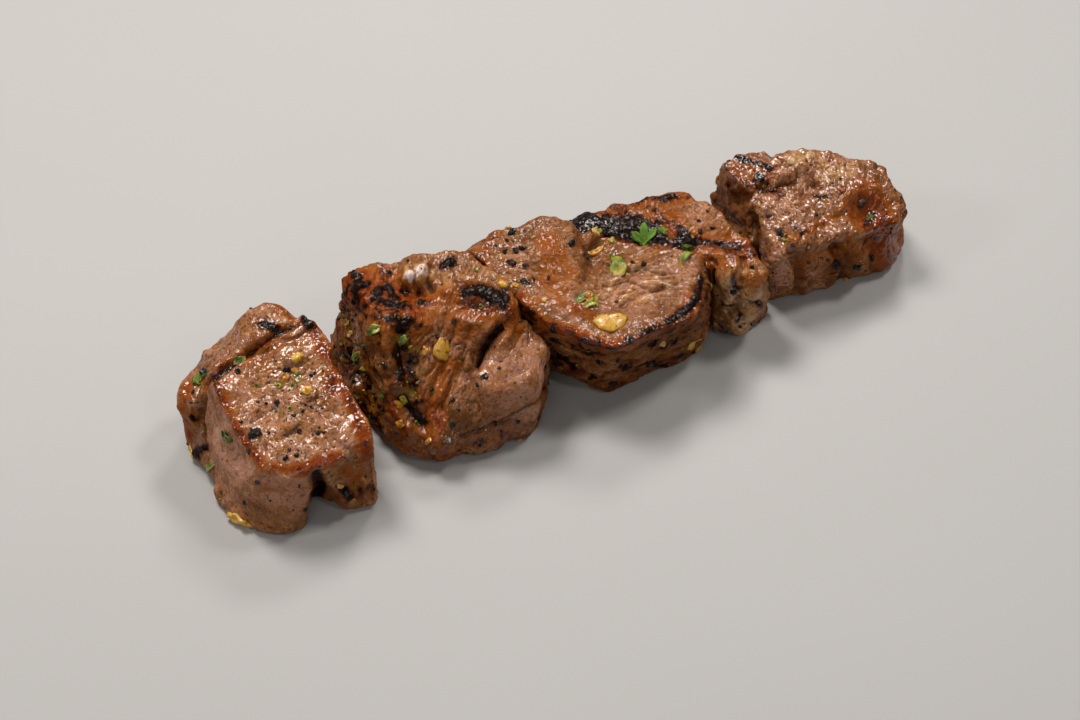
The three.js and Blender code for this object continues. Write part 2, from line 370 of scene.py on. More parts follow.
    def marble(self, share, width, path, **edge):
        """Lays pale fat along a path."""
        self.fat = np.maximum(self.fat, share * self.near(width, path, **edge))

    def pepper(self, share, width, path):
        """Rubs more pepper in along a path."""
        self.peppery += share * self.near(width, path)

    def herb(self, share, width, path):
        """Rubs more herbs and green oil in along a path."""
        self.herby += share * self.near(width, path)

    def press(self, depth, width, path):
        """Sinks the skin along a path, or lifts it where the depth is negative."""
        self.relief -= depth * self.near(width, path, ragged=0.2)

    def crumble(self, height, width, size, path):
        """Raises lumps of that size along a path."""
        lumps = bubbles_at(self.points, size, self.seed + 17)
        self.relief += height * self.near(width, path) * lumps

    def fray(self, height, width, path):
        """Raises fine fibres along a path."""
        fibres = np.minimum(np.abs(noise_at(self.grain, 1.5, self.seed + 19)) * 4, 1)
        self.relief += height * self.near(width, path) * (fibres - 0.6)

    def round_off(self, share, width, path):
        """Rounds the chunk's corners along a path."""
        share = share * self.near(width, path, ragged=0.1)
        self.points += (self.broad - self.points) * share[:, None]

    def shave(self, start, end, fall):
        """Cuts a slanting face that falls at an angle from a line over the top towards the eye."""
        first, last = self.spot(*start), self.spot(*end)
        along = last - first
        out = np.array([along[1], -along[0], 0]) / np.hypot(along[0], along[1])
        face = out * math.sin(fall) + np.array([0, 0, math.cos(fall)])
        first[2] = max(first[2], last[2])
        past = (self.points - first) @ face
        self.points -= np.outer(np.log1p(np.exp(np.clip(past * 2, -30, 60))) / 2, face)
        self.normals = self.outward()
        self.up = self.normals[:, 2]

    def cook(self, top_threads, side_threads, pebbles, browning, crusty=0.0, rosy=1.0):
        """The meat's own relief, the browning that its proud edges take, and painted shade on
        faces turned to the back.
        """
        points, seed = self.points, self.seed
        top = step_up(self.up, 0.55, 0.9)
        rough = 1 - self.sleek
        threads = (top * top_threads + (1 - top) * side_threads) * rough
        strand = np.minimum(np.abs(noise_at(self.grain, 2.6, seed + 5)) * 4, 1)
        fibre = np.minimum(np.abs(noise_at(self.grain, 1.4, seed + 6)) * 4, 1)
        bundle = noise_at(self.grain, 3.8, seed + 7)
        self.relief += threads * (0.26 * strand + 0.14 * fibre + 0.70 * bundle - 0.2)
        self.relief += (0.50 - 0.25 * pebbles * top) * noise_at(points, 4.6, seed + 8)
        self.relief += (0.12 + 0.10 * rough) * noise_at(points, 2.1, seed + 9)
        lumps = bubbles_at(points + 0.3 * np.stack([self.patches] * 3, 1), 1.65, seed + 10)
        self.relief += top * (0.05 + 0.36 * pebbles) * lumps * (0.8 + 0.5 * self.patches)
        self.relief += top * (0.04 + 0.13 * pebbles) * bubbles_at(points, 0.95, seed + 16)
        self.relief += (0.02 + 0.05 * rough) * noise_at(points, 0.9, seed + 11)
        wide = noise_at(points, 7.5, seed + 12)
        patches, small = self.patches, self.flicker
        edges = step_up(self.proud + patches * 0.22 + small * 0.12, 0, BROWN_TO)
        heat = 0.40 + 0.26 * wide + 0.30 * patches + 0.16 * small
        self.sear = np.maximum(self.sear, browning * edges * heat)
        self.glaze = np.maximum(self.glaze, browning * edges * (0.65 + 0.5 * wide + 0.2 * patches))
        crust_and_shade = 0.13 + 0.22 * wide + 0.16 * patches + 0.08 * small
        streaks = np.clip(noise_at(self.grain, 1.9, seed + 15), 0, 1)
        crust_and_shade += (crusty - 0.08) * top + (1 - top) * crusty * (0.9 + 4.0 * streaks)
        # Painted shade: faces turned towards the back are seared darker, by their direction alone.
        crust_and_shade += 0.14 * step_up(self.normals @ SHADED_SIDE, 0.5, 0.9)
        self.sear = np.maximum(self.sear, browning * crust_and_shade)
        self.pink = np.maximum(self.pink, rosy * top * (0.8 + 0.5 * wide))
        damp = 0.12 + 0.62 * pebbles + 0.4 * patches
        self.wet = np.maximum(self.wet, 0.06 + step_up(self.up, 0.2, 0.8) * damp)
        self.char()

    def char(self):
        """Blisters what is burnt black."""
        crackle = step_up(self.sear, 0.72, 0.95)
        self.relief += crackle * 0.34 * bubbles_at(self.points, 1.2, self.seed + 14)
        self.wet *= 1 - 0.5 * crackle

    def serve(self):
        """Lays the relief on the skin and shows it in place of the CAD node."""
        self.points = self.points + self.normals * self.relief[:, None]
        self.points[:, 2] = np.maximum(self.points[:, 2], LOWEST_MM)
        self.mesh.vertices.foreach_set("co", (self.points * MM).astype(np.float32).ravel())
        self.mesh.update()
        blank = show(self.mesh, "blank")
        ease = blank.modifiers.new("ease", "SMOOTH")
        ease.iterations = PIT_ROUNDS
        level = points_of(self.evaluated(blank))
        bpy.data.objects.remove(blank)
        self.normals = self.outward()
        # pits: how far each point lies below its smoothed skin; the beef material paints shade
        # into these hollows.
        self.pits = ((level - self.points) * self.normals).sum(1) / PIT_MM
        for name in ATTRIBUTES:
            kept = self.mesh.attributes.new(name, "FLOAT", "POINT")
            kept.data.foreach_set("value", np.clip(getattr(self, name), 0, 1).astype(np.float32))
        kept = self.mesh.attributes.new("grain", "FLOAT_VECTOR", "POINT")
        kept.data.foreach_set("vector", self.grain.astype(np.float32).ravel())
        self.mesh.polygons.foreach_set("use_smooth", np.ones(len(self.quads), bool))
        self.mesh.materials.clear()
        self.mesh.materials.append(beef)
        self.mesh.update()
        self.skin = BVHTree.FromPolygons(self.points * MM, self.quads)
        self.piece = show(self.mesh, self.node + "_meat")
        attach(self.piece, "root")
        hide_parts(self.node)


def each(stroke, rows, **edge):
    """Makes a stroke for each row of a table: its sizes, then its path over the picture."""
    for row in rows:
        stroke(*row, **edge)


def spread(tree, value, low, high, to_low=0.0, to_high=1.0):
    """The socket of a number spread smoothly from one range to another."""
    return put(tree, "ShaderNodeMapRange", {
        "Value": value, "From Min": low, "From Max": high, "To Min": to_low, "To Max": to_high,
    }, interpolation_type="SMOOTHSTEP").outputs["Result"]


def sums(tree, first, *more):
    """The socket of a number plus others, each given as a socket and its weight."""
    for second, by in zip(more[::2], more[1::2]):
        first = put(tree, "ShaderNodeMath", {0: second, 1: by, 2: first},
                    operation="MULTIPLY_ADD").outputs[0]
    return first


def times(tree, first, second):
    """The socket of a product of two numbers."""
    return put(tree, "ShaderNodeMath", {0: first, 1: second}, operation="MULTIPLY").outputs[0]


def swing(tree, value):
    """The socket of a noise's swing about its middle."""
    return put(tree, "ShaderNodeMath", {0: value, 1: 0.5}, operation="SUBTRACT").outputs[0]


def dents(tree, height, strength, distance):
    """The socket of a normal that fine relief turns."""
    return put(tree, "ShaderNodeBump", {
        "Height": height, "Strength": strength, "Distance": distance,
    }).outputs["Normal"]


def cooked_beef():
    """Grilled beef: pink-tan meat, browned, then charred where the sear attribute says so, with
    painted shade in its pits.
    """
    material, tree, place = blank_material("grilled beef")
    kept = {
        name: put(tree, "ShaderNodeAttribute", attribute_name=name).outputs["Fac"]
        for name in ATTRIBUTES
    }
    grain = put(tree, "ShaderNodeAttribute", attribute_name="grain").outputs["Vector"]
    cloud = mottling(tree, place, 230.0, 4.0, 0.6)
    mottle = mottling(tree, place, 900.0, 3.0, 0.65)
    blots = mottling(tree, place, 480.0, 3.0, 0.55, 0.6)
    grit = mottling(tree, place, 3200.0, 2.0, 0.6)
    specks = mottling(tree, place, 1250.0)
    threads = mottling(tree, grain, 1.3, 3.0, 0.6, 0.3)
    pebble = put(tree, "ShaderNodeTexVoronoi", {
        "Vector": place, "Scale": 1350.0, "Smoothness": 0.6,
    }, feature="SMOOTH_F1").outputs["Distance"]

    flesh = mixed(tree, kept["pink"], (0.27, 0.108, 0.040, 1), (0.46, 0.215, 0.135, 1))
    busy = spread(tree, kept["sleek"], 0.1, 0.7, 1.0, 0.25)
    for noise, low, high, most, shade in (
        (threads, 0.50, 0.68, 0.45, (0.45, 0.21, 0.10, 1)),
        (threads, 0.47, 0.33, 0.65, (0.10, 0.030, 0.007, 1)),
        (cloud, 0.52, 0.58, 0.62, (0.22, 0.072, 0.014, 1)),
        (blots, 0.56, 0.61, 0.55, (0.34, 0.135, 0.022, 1)),
        (mottle, 0.53, 0.66, 0.35, (0.50, 0.26, 0.16, 1)),
        (mottle, 0.45, 0.33, 0.5, (0.13, 0.040, 0.012, 1)),
        (grit, 0.37, 0.27, 0.8, (0.03, 0.009, 0.004, 1)),
        (specks, 0.60, 0.64, 0.6, (0.50, 0.235, 0.045, 1)),
        (specks, 0.395, 0.35, 0.85, (0.060, 0.018, 0.006, 1)),
    ):
        share = spread(tree, noise, low, high, 0.0, most)
        if noise is specks:
            share = times(tree, share, busy)
        flesh = mixed(tree, share, flesh, shade)
    fatty = spread(tree, cloud, 0.35, 0.65)
    fatty = mixed(tree, fatty, (0.48, 0.22, 0.045, 1), (0.64, 0.40, 0.20, 1))
    fatty = mixed(tree, spread(tree, kept["fat"], 0.85, 1.0), fatty, (0.80, 0.62, 0.54, 1))
    fatty = mixed(tree, spread(tree, mottle, 0.47, 0.36, 0.0, 0.6), fatty, (0.20, 0.075, 0.018, 1))
    flesh = mixed(tree, kept["fat"], flesh, fatty)
    # Painted shade: the colour darkens in the pits, the hollows between lumps and fibres, as if
    # shade fell there.
    pit_shade = spread(tree, kept["pits"], 0.1, 1.1, 0.0, 0.8)
    flesh = mixed(tree, pit_shade, flesh, (0.10, 0.029, 0.008, 1))
    oily = times(tree, kept["herby"], spread(tree, cloud, 0.52, 0.38))
    colour = mixed(tree, oily, flesh, (0.13, 0.10, 0.009, 1))
    coarse, sandy, stringy = (swing(tree, noise) for noise in (mottle, grit, threads))
    glazed = sums(tree, kept["glaze"], coarse, 0.5, stringy, 0.4)
    seared = sums(tree, kept["sear"], coarse, 0.6, sandy, 0.3, stringy, 0.4)
    for heat, low, high, most, shade in (
        (seared, 0.10, 0.38, 0.9, (0.150, 0.050, 0.012, 1)),
        (glazed, 0.20, 0.70, 0.85, (0.27, 0.068, 0.005, 1)),
        (glazed, 0.70, 1.10, 0.9, (0.19, 0.024, 0.002, 1)),
        (seared, 0.36, 0.58, 0.9, (0.085, 0.016, 0.003, 1)),
        (seared, 0.56, 0.72, 1.0, (0.009, 0.003, 0.002, 1)),
    ):
        colour = mixed(tree, spread(tree, heat, low, high, 0.0, most), colour, shade)

    film = sums(tree, times(tree, mottle, 0.8), pebble, -1.0)
    skin = sums(tree, film, threads, 0.9, grit, 0.5)
    slant = put(tree, "ShaderNodeLayerWeight", {"Blend": 0.5}).outputs["Facing"]
    dull = spread(tree, kept["wet"], 0.0, 1.0, 0.34, 0.20)
    juice = spread(tree, kept["wet"], 0.0, 0.8, 0.07, 1.0)
    lay(tree, {
        "Base Color": colour,
        "Roughness": sums(tree, dull, mottle, 0.18),
        "Subsurface Weight": spread(tree, seared, 0.2, 0.5, 0.10, 0.0),
        "Subsurface Radius": (1.0, 0.36, 0.16),
        "Subsurface Scale": 0.0012,
        "Specular IOR Level": 0.06,
        "Specular Tint": (1.0, 0.72, 0.48, 1),
        "Coat Weight": times(tree, juice, spread(tree, slant, 0.55, 0.95, 1.0, 0.1)),
        "Coat Roughness": 0.08,
        "Coat Normal": dents(tree, film, 0.34, 0.0003),
        "Normal": dents(tree, skin, 0.45, 0.00035),
    })
    return material


beef = cooked_beef()

SEAM = ((302, 322), (282, 330), (262, 345), (232, 364), (206, 384))
LEFT_FACE = ((222, 420), (236, 480), (285, 495))
SLAB_EDGE = ((272, 304), (284, 311), (292, 318))
LEFT_RIM = ((218, 385), (228, 415), (240, 435), (262, 465))
RIGHT_RIM = ((312, 330), (330, 356), (345, 385), (358, 420), (370, 458))
SCAB = ((330, 378), (333, 390))
FOOT_LOBE = ((335, 500), (352, 494), (368, 492))
FOLD_END = (307, 394)

chunk = Chunk("chunk_1", 1, (-0.96, -0.29, 0))
CHUNK_1_DENTS = (
    (1.5, 1.6, SEAM),
    (1.0, 1.4, ((204, 388), (202, 420), (206, 450))),
    (1.2, 1.8, ((316, 474), (320, 488), (314, 500))),
)
each(chunk.press, CHUNK_1_DENTS)
CHUNK_1_CORNERS = (
    (1.0, 6.0, ((309, 506), (307, 524))),
    (1.0, 9.0, ((374, 458), (378, 500), (350, 512))),
    (0.7, 6.0, ((246, 480), (254, 526))),
)
each(chunk.round_off, CHUNK_1_CORNERS)
CHUNK_1_DENTS_2 = (
    (1.0, 4.0, ((374, 470), (376, 500), (352, 510))),
    (-1.3, 5.0, ((222, 495), (236, 524))),
)
each(chunk.press, CHUNK_1_DENTS_2)
chunk.round_off(1.0, 3.6, (FOLD_END,))
CHUNK_1_SMOOTHED = (
    (0.8, 15.0, LEFT_FACE),
)
each(chunk.smooth, CHUNK_1_SMOOTHED)
CHUNK_1_BROWNED = (
    (1.0, 3.2, 0.3, SEAM),
    (0.9, 3.4, 0.3, SLAB_EDGE),
    (0.5, 7.0, 0.5, ((300, 345), (270, 350), (245, 368))),
    (1.4, 2.6, 0.3, LEFT_RIM),
    (1.4, 2.8, 0.3, RIGHT_RIM),
    (1.3, 2.4, 0.3, ((262, 465), (282, 470), (300, 470), (320, 462), (340, 457))),
    (1.2, 3.6, 0.3, SCAB),
    (0.9, 4.6, 0.3, ((188, 388), (184, 410), (190, 438))),
    (0.5, 6.0, 0.6, FOOT_LOBE),
    (0.8, 4.0, 0.4, ((345, 474), (356, 478))),
    (1.3, 2.4, 0.3, ((266, 486), (270, 489))),
)
each(chunk.brown, CHUNK_1_BROWNED)
CHUNK_1_BURNT = (
    (0.74, 1.7, 0.3, SEAM),
    (0.46, 2.4, 0.4, SLAB_EDGE),
    (0.54, 1.6, 0.25, LEFT_RIM),
    (0.54, 1.7, 0.25, RIGHT_RIM),
    (0.46, 1.4, 0.5, ((262, 465), (282, 470), (300, 470))),
    (0.92, 2.8, 0.25, ((264, 325), (276, 329))),
    (0.52, 2.8, 0.25, SCAB),
    (1.0, 2.0, 0.25, ((304, 319), (309, 324))),
    (1.0, 1.7, 0.25, ((180, 438), (186, 450), (198, 457))),
    (1.0, 2.4, 0.25, ((316, 474), (321, 488), (314, 500))),
    (0.95, 2.4, 0.6, ((343, 490), (350, 496))),
    (0.44, 6.0, 0.7, FOOT_LOBE),
)
each(chunk.burn, CHUNK_1_BURNT)
CHUNK_1_WET = (
    (0.9, 3.0, ((218, 385), (240, 435), (262, 465), (300, 470))),
    (0.6, 6.0, ((240, 345), (214, 370))),
)
each(chunk.baste, CHUNK_1_WET)
CHUNK_1_PINK = (
    (1.0, 13.0, LEFT_FACE),
    (0.8, 9.0, ((340, 480), (360, 490))),
    (0.8, 12.0, ((230, 350), (262, 330))),
)
each(chunk.blush, CHUNK_1_PINK)
CHUNK_1_PEPPERED = (
    (3.0, 6.0, ((276, 374), (312, 380))),
    (2.0, 8.0, ((284, 400), (304, 440))),
    (2.5, 5.0, ((345, 492), (368, 490))),
)
each(chunk.pepper, CHUNK_1_PEPPERED)
CHUNK_1_HERBED = (
    (1.0, 6.0, ((272, 380), (306, 372))),
    (0.5, 5.0, ((286, 410), (304, 432))),
)
each(chunk.herb, CHUNK_1_HERBED)
chunk.cook(0.10, 0.45, 1.0, 0.8, 0.03)
CHUNK_1_DRIED = (
    (0.45, 14.0, ((262, 400), (300, 440))),
    (0.5, 5.0, ((270, 312), (284, 322))),
)
each(chunk.dry, CHUNK_1_DRIED)
CHUNK_1_SPARED = (
    (0.6, 9.0, ((224, 430), (236, 480), (285, 495))),
)
each(chunk.calm, CHUNK_1_SPARED)
CHUNK_1_FATTY = (
    (0.8, 2.2, ((286, 322), (298, 321))),
    (0.7, 3.0, ((232, 522), (250, 528))),
)
each(chunk.marble, CHUNK_1_FATTY)
chunk.serve()
chunks = [chunk]

# ---- chunk_2: the biggest chunk, torn along its fibres ----
# A folded piece whose fibres show on top, with an orange crust and a pale knob
# of fat at the back, burnt patches, and a smooth lobe behind a deep crease.

CRUST = ((350, 290), (380, 296), (408, 308))
CREASE = ((512, 322), (500, 330), (489, 341), (481, 354), (475, 368))
LOBE_SEAM = ((462, 437), (500, 422), (530, 404), (546, 386))
TORN_FACE = ((350, 296), (352, 350), (372, 410))
BROW = ((466, 300), (486, 306), (506, 308))
CHUNK_2_FOOT = ((412, 448), (450, 452), (500, 436), (540, 414))

chunk = Chunk("chunk_2", 2, (-0.62, -0.74, -0.2))
CHUNK_2_DENTS = (
    (3.0, 2.1, CREASE),
    (0.7, 1.1, LOBE_SEAM),
    (0.8, 6.5, ((400, 290), (420, 292), (440, 282))),
    (-1.5, 3.2, ((410, 278), (423, 273))),
    (1.2, 1.2, ((430, 266), (427, 278), (432, 290))),
    (0.9, 0.9, ((412, 270), (416, 278), (413, 288))),
    (1.0, 1.2, ((404, 290), (414, 294), (424, 292))),
    (1.8, 3.0, ((396, 400), (412, 412), (420, 425))),
    (0.9, 1.5, ((456, 322), (448, 350), (436, 385), (424, 413))),
    (0.8, 1.3, ((470, 330), (458, 372), (440, 408))),
    (1.2, 2.0, ((404, 312), (398, 345), (408, 372), (414, 392))),
    (0.8, 1.2, ((366, 318), (372, 352), (380, 384), (392, 420))),
    (0.8, 1.2, ((348, 322), (356, 362), (364, 396))),
    (-1.0, 2.4, ((384, 330), (388, 368))),
    (-1.8, 9.0, ((500, 366), (525, 372), (520, 392))),
    (-1.7, 3.4, ((520, 330), (514, 344), (509, 360))),
    (-0.8, 3.2, ((470, 294), (484, 294), (498, 301))),
)
each(chunk.press, CHUNK_2_DENTS)
CHUNK_2_LUMPS = (
    (1.0, 4.0, 2.4, ((408, 282), (424, 274))),
    (0.5, 7.0, 1.7, ((350, 290), (380, 296), (400, 300))),
    (0.6, 3.0, 1.7, ((436, 284), (452, 290))),
    (0.5, 4.0, 1.7, ((412, 448), (470, 446), (530, 420))),
)
each(chunk.crumble, CHUNK_2_LUMPS)
CHUNK_2_FIBRES = (
    (0.5, 11.0, ((350, 310), (356, 362), (372, 410))),
    (0.4, 12.0, ((430, 330), (450, 350), (430, 410))),
)
each(chunk.fray, CHUNK_2_FIBRES)
CHUNK_2_WET = (
    (0.5, 5.0, ((406, 282), (424, 274))),
    (0.4, 12.0, CRUST),
    (0.6, 9.0, ((350, 320), (360, 370), (390, 420))),
    (0.5, 10.0, ((420, 440), (480, 440), (530, 410))),
)
each(chunk.baste, CHUNK_2_WET)
CHUNK_2_BROWNED = (
    (0.9, 2.6, 0.3, ((402, 284), (410, 290), (420, 289))),
    (0.55, 14.0, 0.6, TORN_FACE),
    (1.3, 12.0, 0.6, CRUST),
    (0.6, 6.0, 0.5, ((436, 300), (452, 320), (468, 330))),
    (0.8, 5.0, 0.4, ((404, 298), (420, 304), (444, 296))),
    (1.1, 7.0, 0.3, BROW),
    (1.0, 3.4, 0.3, ((390, 400), (396, 422), (404, 430))),
    (1.3, 3.0, 0.3, ((434, 414), (440, 422))),
    (0.8, 2.6, 0.3, ((548, 372), (551, 392), (545, 414))),
    (0.8, 7.0, 0.6, ((446, 372), (430, 404), (428, 436))),
    (0.6, 6.0, 0.6, CHUNK_2_FOOT),
)
each(chunk.brown, CHUNK_2_BROWNED)
CHUNK_2_SMOOTHED = (
    (0.95, 14.0, ((500, 370), (525, 372), (515, 398))),
)
each(chunk.smooth, CHUNK_2_SMOOTHED)
CHUNK_2_BURNT = (
    (1.0, 1.5, 0.1, CREASE),
    (0.62, 1.2, 0.25, LOBE_SEAM),
    (0.42, 14.0, 0.9, TORN_FACE),
    (0.56, 12.0, 1.1, CRUST),
    (0.86, 3.0, 0.7, ((372, 300), (392, 306))),
    (0.60, 4.0, 0.9, ((344, 300), (362, 304), (380, 312))),
    (0.80, 2.2, 0.7, ((346, 284), (366, 288))),
    (0.72, 2.4, 0.25, ((366, 316), (384, 318), (404, 320))),
    (0.50, 5.5, 0.3, BROW),
    (1.05, 4.4, 0.5, ((468, 290), (482, 292), (500, 300))),
    (1.0, 2.6, 0.25, ((388, 286), (396, 300))),
    (0.52, 5.0, 0.9, ((412, 308), (398, 330), (404, 352), (408, 378), (412, 400))),
    (0.92, 3.2, 0.5, ((408, 318), (400, 330))),
    (0.92, 2.6, 0.5, ((398, 352), (402, 370))),
    (1.0, 2.8, 0.25, ((404, 400), (412, 410), (420, 422))),
    (1.0, 2.6, 0.25, ((443, 266), (453, 262))),
    (0.44, 5.0, 0.7, CHUNK_2_FOOT),
    (0.62, 1.5, 0.8, ((350, 330), (352, 360), (360, 392))),
    (0.62, 1.5, 0.8, ((362, 322), (366, 352), (372, 384))),
    (0.62, 1.5, 0.8, ((378, 330), (384, 356), (390, 384))),
    (0.62, 1.5, 0.8, ((366, 372), (374, 396), (386, 418))),
)
each(chunk.burn, CHUNK_2_BURNT)
CHUNK_2_HERBED = (
    (1.0, 9.0, ((350, 320), (360, 360), (372, 404))),
    (1.0, 5.0, ((404, 335), (410, 372), (416, 410))),
)
each(chunk.herb, CHUNK_2_HERBED)
CHUNK_2_PINK = (
    (1.0, 13.0, ((495, 372), (525, 370), (515, 400))),
    (0.5, 8.0, ((425, 345), (455, 330), (450, 375))),
)
each(chunk.blush, CHUNK_2_PINK)
chunk.cook(1.1, 1.4, 0.3, 1.0, 0.10, rosy=0.3)
CHUNK_2_DRIED = (
    (0.75, 11.0, ((350, 290), (380, 296), (404, 304))),
)
each(chunk.dry, CHUNK_2_DRIED)
CHUNK_2_SPARED = (
    (0.7, 10.0, ((497, 375), (530, 370), (515, 402))),
    (0.9, 4.0, ((410, 278), (424, 276))),
)
each(chunk.calm, CHUNK_2_SPARED)
CHUNK_2_FATTY = (
    (1.2, 3.6, ((409, 280), (422, 273))),
    (0.5, 2.0, ((440, 278), (448, 286))),
    (0.9, 2.2, ((378, 398), (382, 404))),
)
each(chunk.marble, CHUNK_2_FATTY)
chunk.serve()
chunks.append(chunk)

# ---- chunk_3: the middle chunk, a rounded hump and a shallow dish ----
# Its top is a browned hump at the left and a dish of pale fibres at the right;
# a brown crust runs round the front edge over a layered side.

FRONT_RIM = ((520, 303), (545, 325), (575, 335), (610, 345), (640, 340), (670, 325), (697, 300))
HUMP_EDGE = ((496, 232), (488, 246), (478, 258))
LEFT_FOOT = ((545, 352), (580, 376), (612, 384))
RIGHT_FOOT = ((612, 384), (650, 376), (700, 350))
UPPER_LAYER = ((556, 344), (590, 356), (630, 352), (684, 332))
LOWER_LAYER = ((566, 366), (600, 374), (640, 368), (696, 342))

chunk = Chunk("chunk_3", 3, (0.93, -0.33, 0.1))
CHUNK_3_CORNERS = (
    (0.9, 7.0, ((560, 368), (600, 386), (650, 380))),
)
each(chunk.round_off, CHUNK_3_CORNERS)
CHUNK_3_DENTS = (
    (1.0, 2.4, ((596, 246), (590, 272), (580, 296))),
    (0.7, 1.3, ((602, 300), (616, 284), (632, 272))),
    (0.6, 1.2, ((622, 306), (640, 294), (662, 288))),
    (0.8, 1.2, ((560, 352), (590, 364), (630, 360), (680, 342))),
    (0.8, 1.0, ((600, 262), (616, 272), (640, 268), (664, 274))),
    (0.7, 0.9, ((604, 286), (626, 280), (652, 290), (676, 284))),
    (0.7, 1.0, UPPER_LAYER),
    (0.7, 1.0, LOWER_LAYER),
)
each(chunk.press, CHUNK_3_DENTS)
CHUNK_3_FIBRES = (
    (0.5, 10.0, ((615, 292), (655, 276))),
    (0.5, 8.0, ((560, 355), (600, 368), (650, 360), (695, 335))),
)
each(chunk.fray, CHUNK_3_FIBRES)
CHUNK_3_LUMPS = (
    (0.7, 6.0, 2.6, ((560, 366), (612, 384), (660, 372), (705, 350))),
)
each(chunk.crumble, CHUNK_3_LUMPS)
CHUNK_3_BURNT = (
    (0.54, 1.9, 0.6, FRONT_RIM),
    (0.72, 2.4, 0.8, ((630, 340), (650, 330), (660, 326))),
    (0.62, 2.2, 0.9, ((520, 306), (540, 324), (556, 332))),
    (1.0, 2.4, 0.25, ((668, 322), (684, 312), (696, 300), (702, 278))),
    (0.44, 2.4, 0.5, HUMP_EDGE),
    (0.46, 4.0, 0.7, LEFT_FOOT),
    (0.46, 4.0, 0.7, RIGHT_FOOT),
    (0.56, 1.5, 0.4, UPPER_LAYER),
    (0.56, 1.5, 0.4, LOWER_LAYER),
    (0.36, 1.2, 0.5, ((608, 305), (616, 285), (638, 273), (664, 275))),
    (0.36, 1.2, 0.5, ((624, 307), (636, 291), (656, 285), (678, 291))),
    (0.36, 1.2, 0.5, ((644, 305), (660, 297), (674, 299))),
    (0.66, 3.0, 0.9, ((566, 364), (590, 374))),
    (0.66, 2.6, 0.9, ((640, 366), (662, 362))),
)
each(chunk.burn, CHUNK_3_BURNT)
CHUNK_3_BROWNED = (
    (1.25, 3.2, 0.3, FRONT_RIM),
    (0.7, 6.0, 0.4, ((545, 240), (552, 262), (546, 285))),
    (0.8, 3.2, 0.3, HUMP_EDGE),
    (0.6, 4.0, 0.6, LEFT_FOOT),
    (0.5, 4.0, 0.6, RIGHT_FOOT),
    (0.7, 3.4, 0.7, ((560, 252), (572, 272), (560, 292))),
    (0.8, 3.0, 0.7, ((596, 318), (556, 300), (538, 300))),
)
each(chunk.brown, CHUNK_3_BROWNED)
CHUNK_3_WET = (
    (0.45, 4.0, FRONT_RIM),
)
each(chunk.baste, CHUNK_3_WET)
CHUNK_3_PEPPERED = (
    (1.5, 9.0, ((508, 238), (518, 262), (514, 286))),
)
each(chunk.pepper, CHUNK_3_PEPPERED)
CHUNK_3_PINK = (
    (1.0, 14.0, ((580, 312), (640, 290), (665, 280))),
    (0.6, 9.0, ((520, 270), (536, 290))),
)
each(chunk.blush, CHUNK_3_PINK)
CHUNK_3_FATTY = (
    (1.0, 0.9, ((604, 300), (612, 280), (634, 268), (660, 270))),
    (1.0, 0.9, ((620, 302), (632, 286), (652, 280), (674, 286))),
    (1.0, 0.9, ((640, 300), (656, 292), (670, 294))),
)
each(chunk.marble, CHUNK_3_FATTY, ragged=0.9)
CHUNK_3_SMOOTHED = (
    (0.8, 10.0, ((570, 318), (610, 318), (650, 310))),
    (0.6, 14.0, ((606, 296), (650, 280))),
)
each(chunk.smooth, CHUNK_3_SMOOTHED)
CHUNK_3_BURNT_2 = (
    (0.74, 1.7, 0.9, ((552, 340), (575, 350), (600, 354))),
    (0.74, 1.7, 0.9, ((600, 364), (630, 366), (655, 358))),
    (0.74, 1.7, 0.9, ((650, 346), (676, 340), (700, 326))),
    (0.74, 1.7, 0.9, ((660, 366), (684, 356), (706, 342))),
    (0.74, 1.7, 0.9, ((556, 356), (572, 366), (588, 376))),
)
each(chunk.burn, CHUNK_3_BURNT_2, ragged=0.9)
chunk.cook(0.5, 1.6, 0.3, 1.0, 0.18, rosy=0.35)
CHUNK_3_DRIED = (
    (0.4, 14.0, ((560, 250), (600, 300), (650, 290))),
)
each(chunk.dry, CHUNK_3_DRIED)
CHUNK_3_SPARED = (
    (0.6, 2.2, ((566, 350), (580, 354))),
    (0.6, 2.2, ((612, 374), (628, 376))),
    (0.6, 2.2, ((668, 352), (690, 338))),
)
each(chunk.calm, CHUNK_3_SPARED, ragged=0.8)
CHUNK_3_SPARED_2 = (
    (0.45, 9.0, ((610, 296), (640, 288), (665, 278))),
)
each(chunk.calm, CHUNK_3_SPARED_2)
CHUNK_3_FATTY_2 = (
    (0.3, 1.6, ((605, 285), (622, 300), (648, 300), (668, 290))),
)
each(chunk.marble, CHUNK_3_FATTY_2, ragged=0.9)
chunk.serve()
chunks.append(chunk)

# ---- chunk_4: the flat chunk with a strip of blistered char ----
# Its back half is crossed by a glossy black strip of bubbles, its right and
# front sides are yellow-white fat with dark grains pressed into it.

CHAR_STRIP = ((578, 222), (605, 228), (640, 232), (672, 234), (690, 240))
STRIP_END = ((690, 238), (725, 248), (758, 252))
BLISTERS = ((584, 224), (640, 234), (684, 240))
FAT_EDGE = ((706, 258), (728, 262), (740, 256))

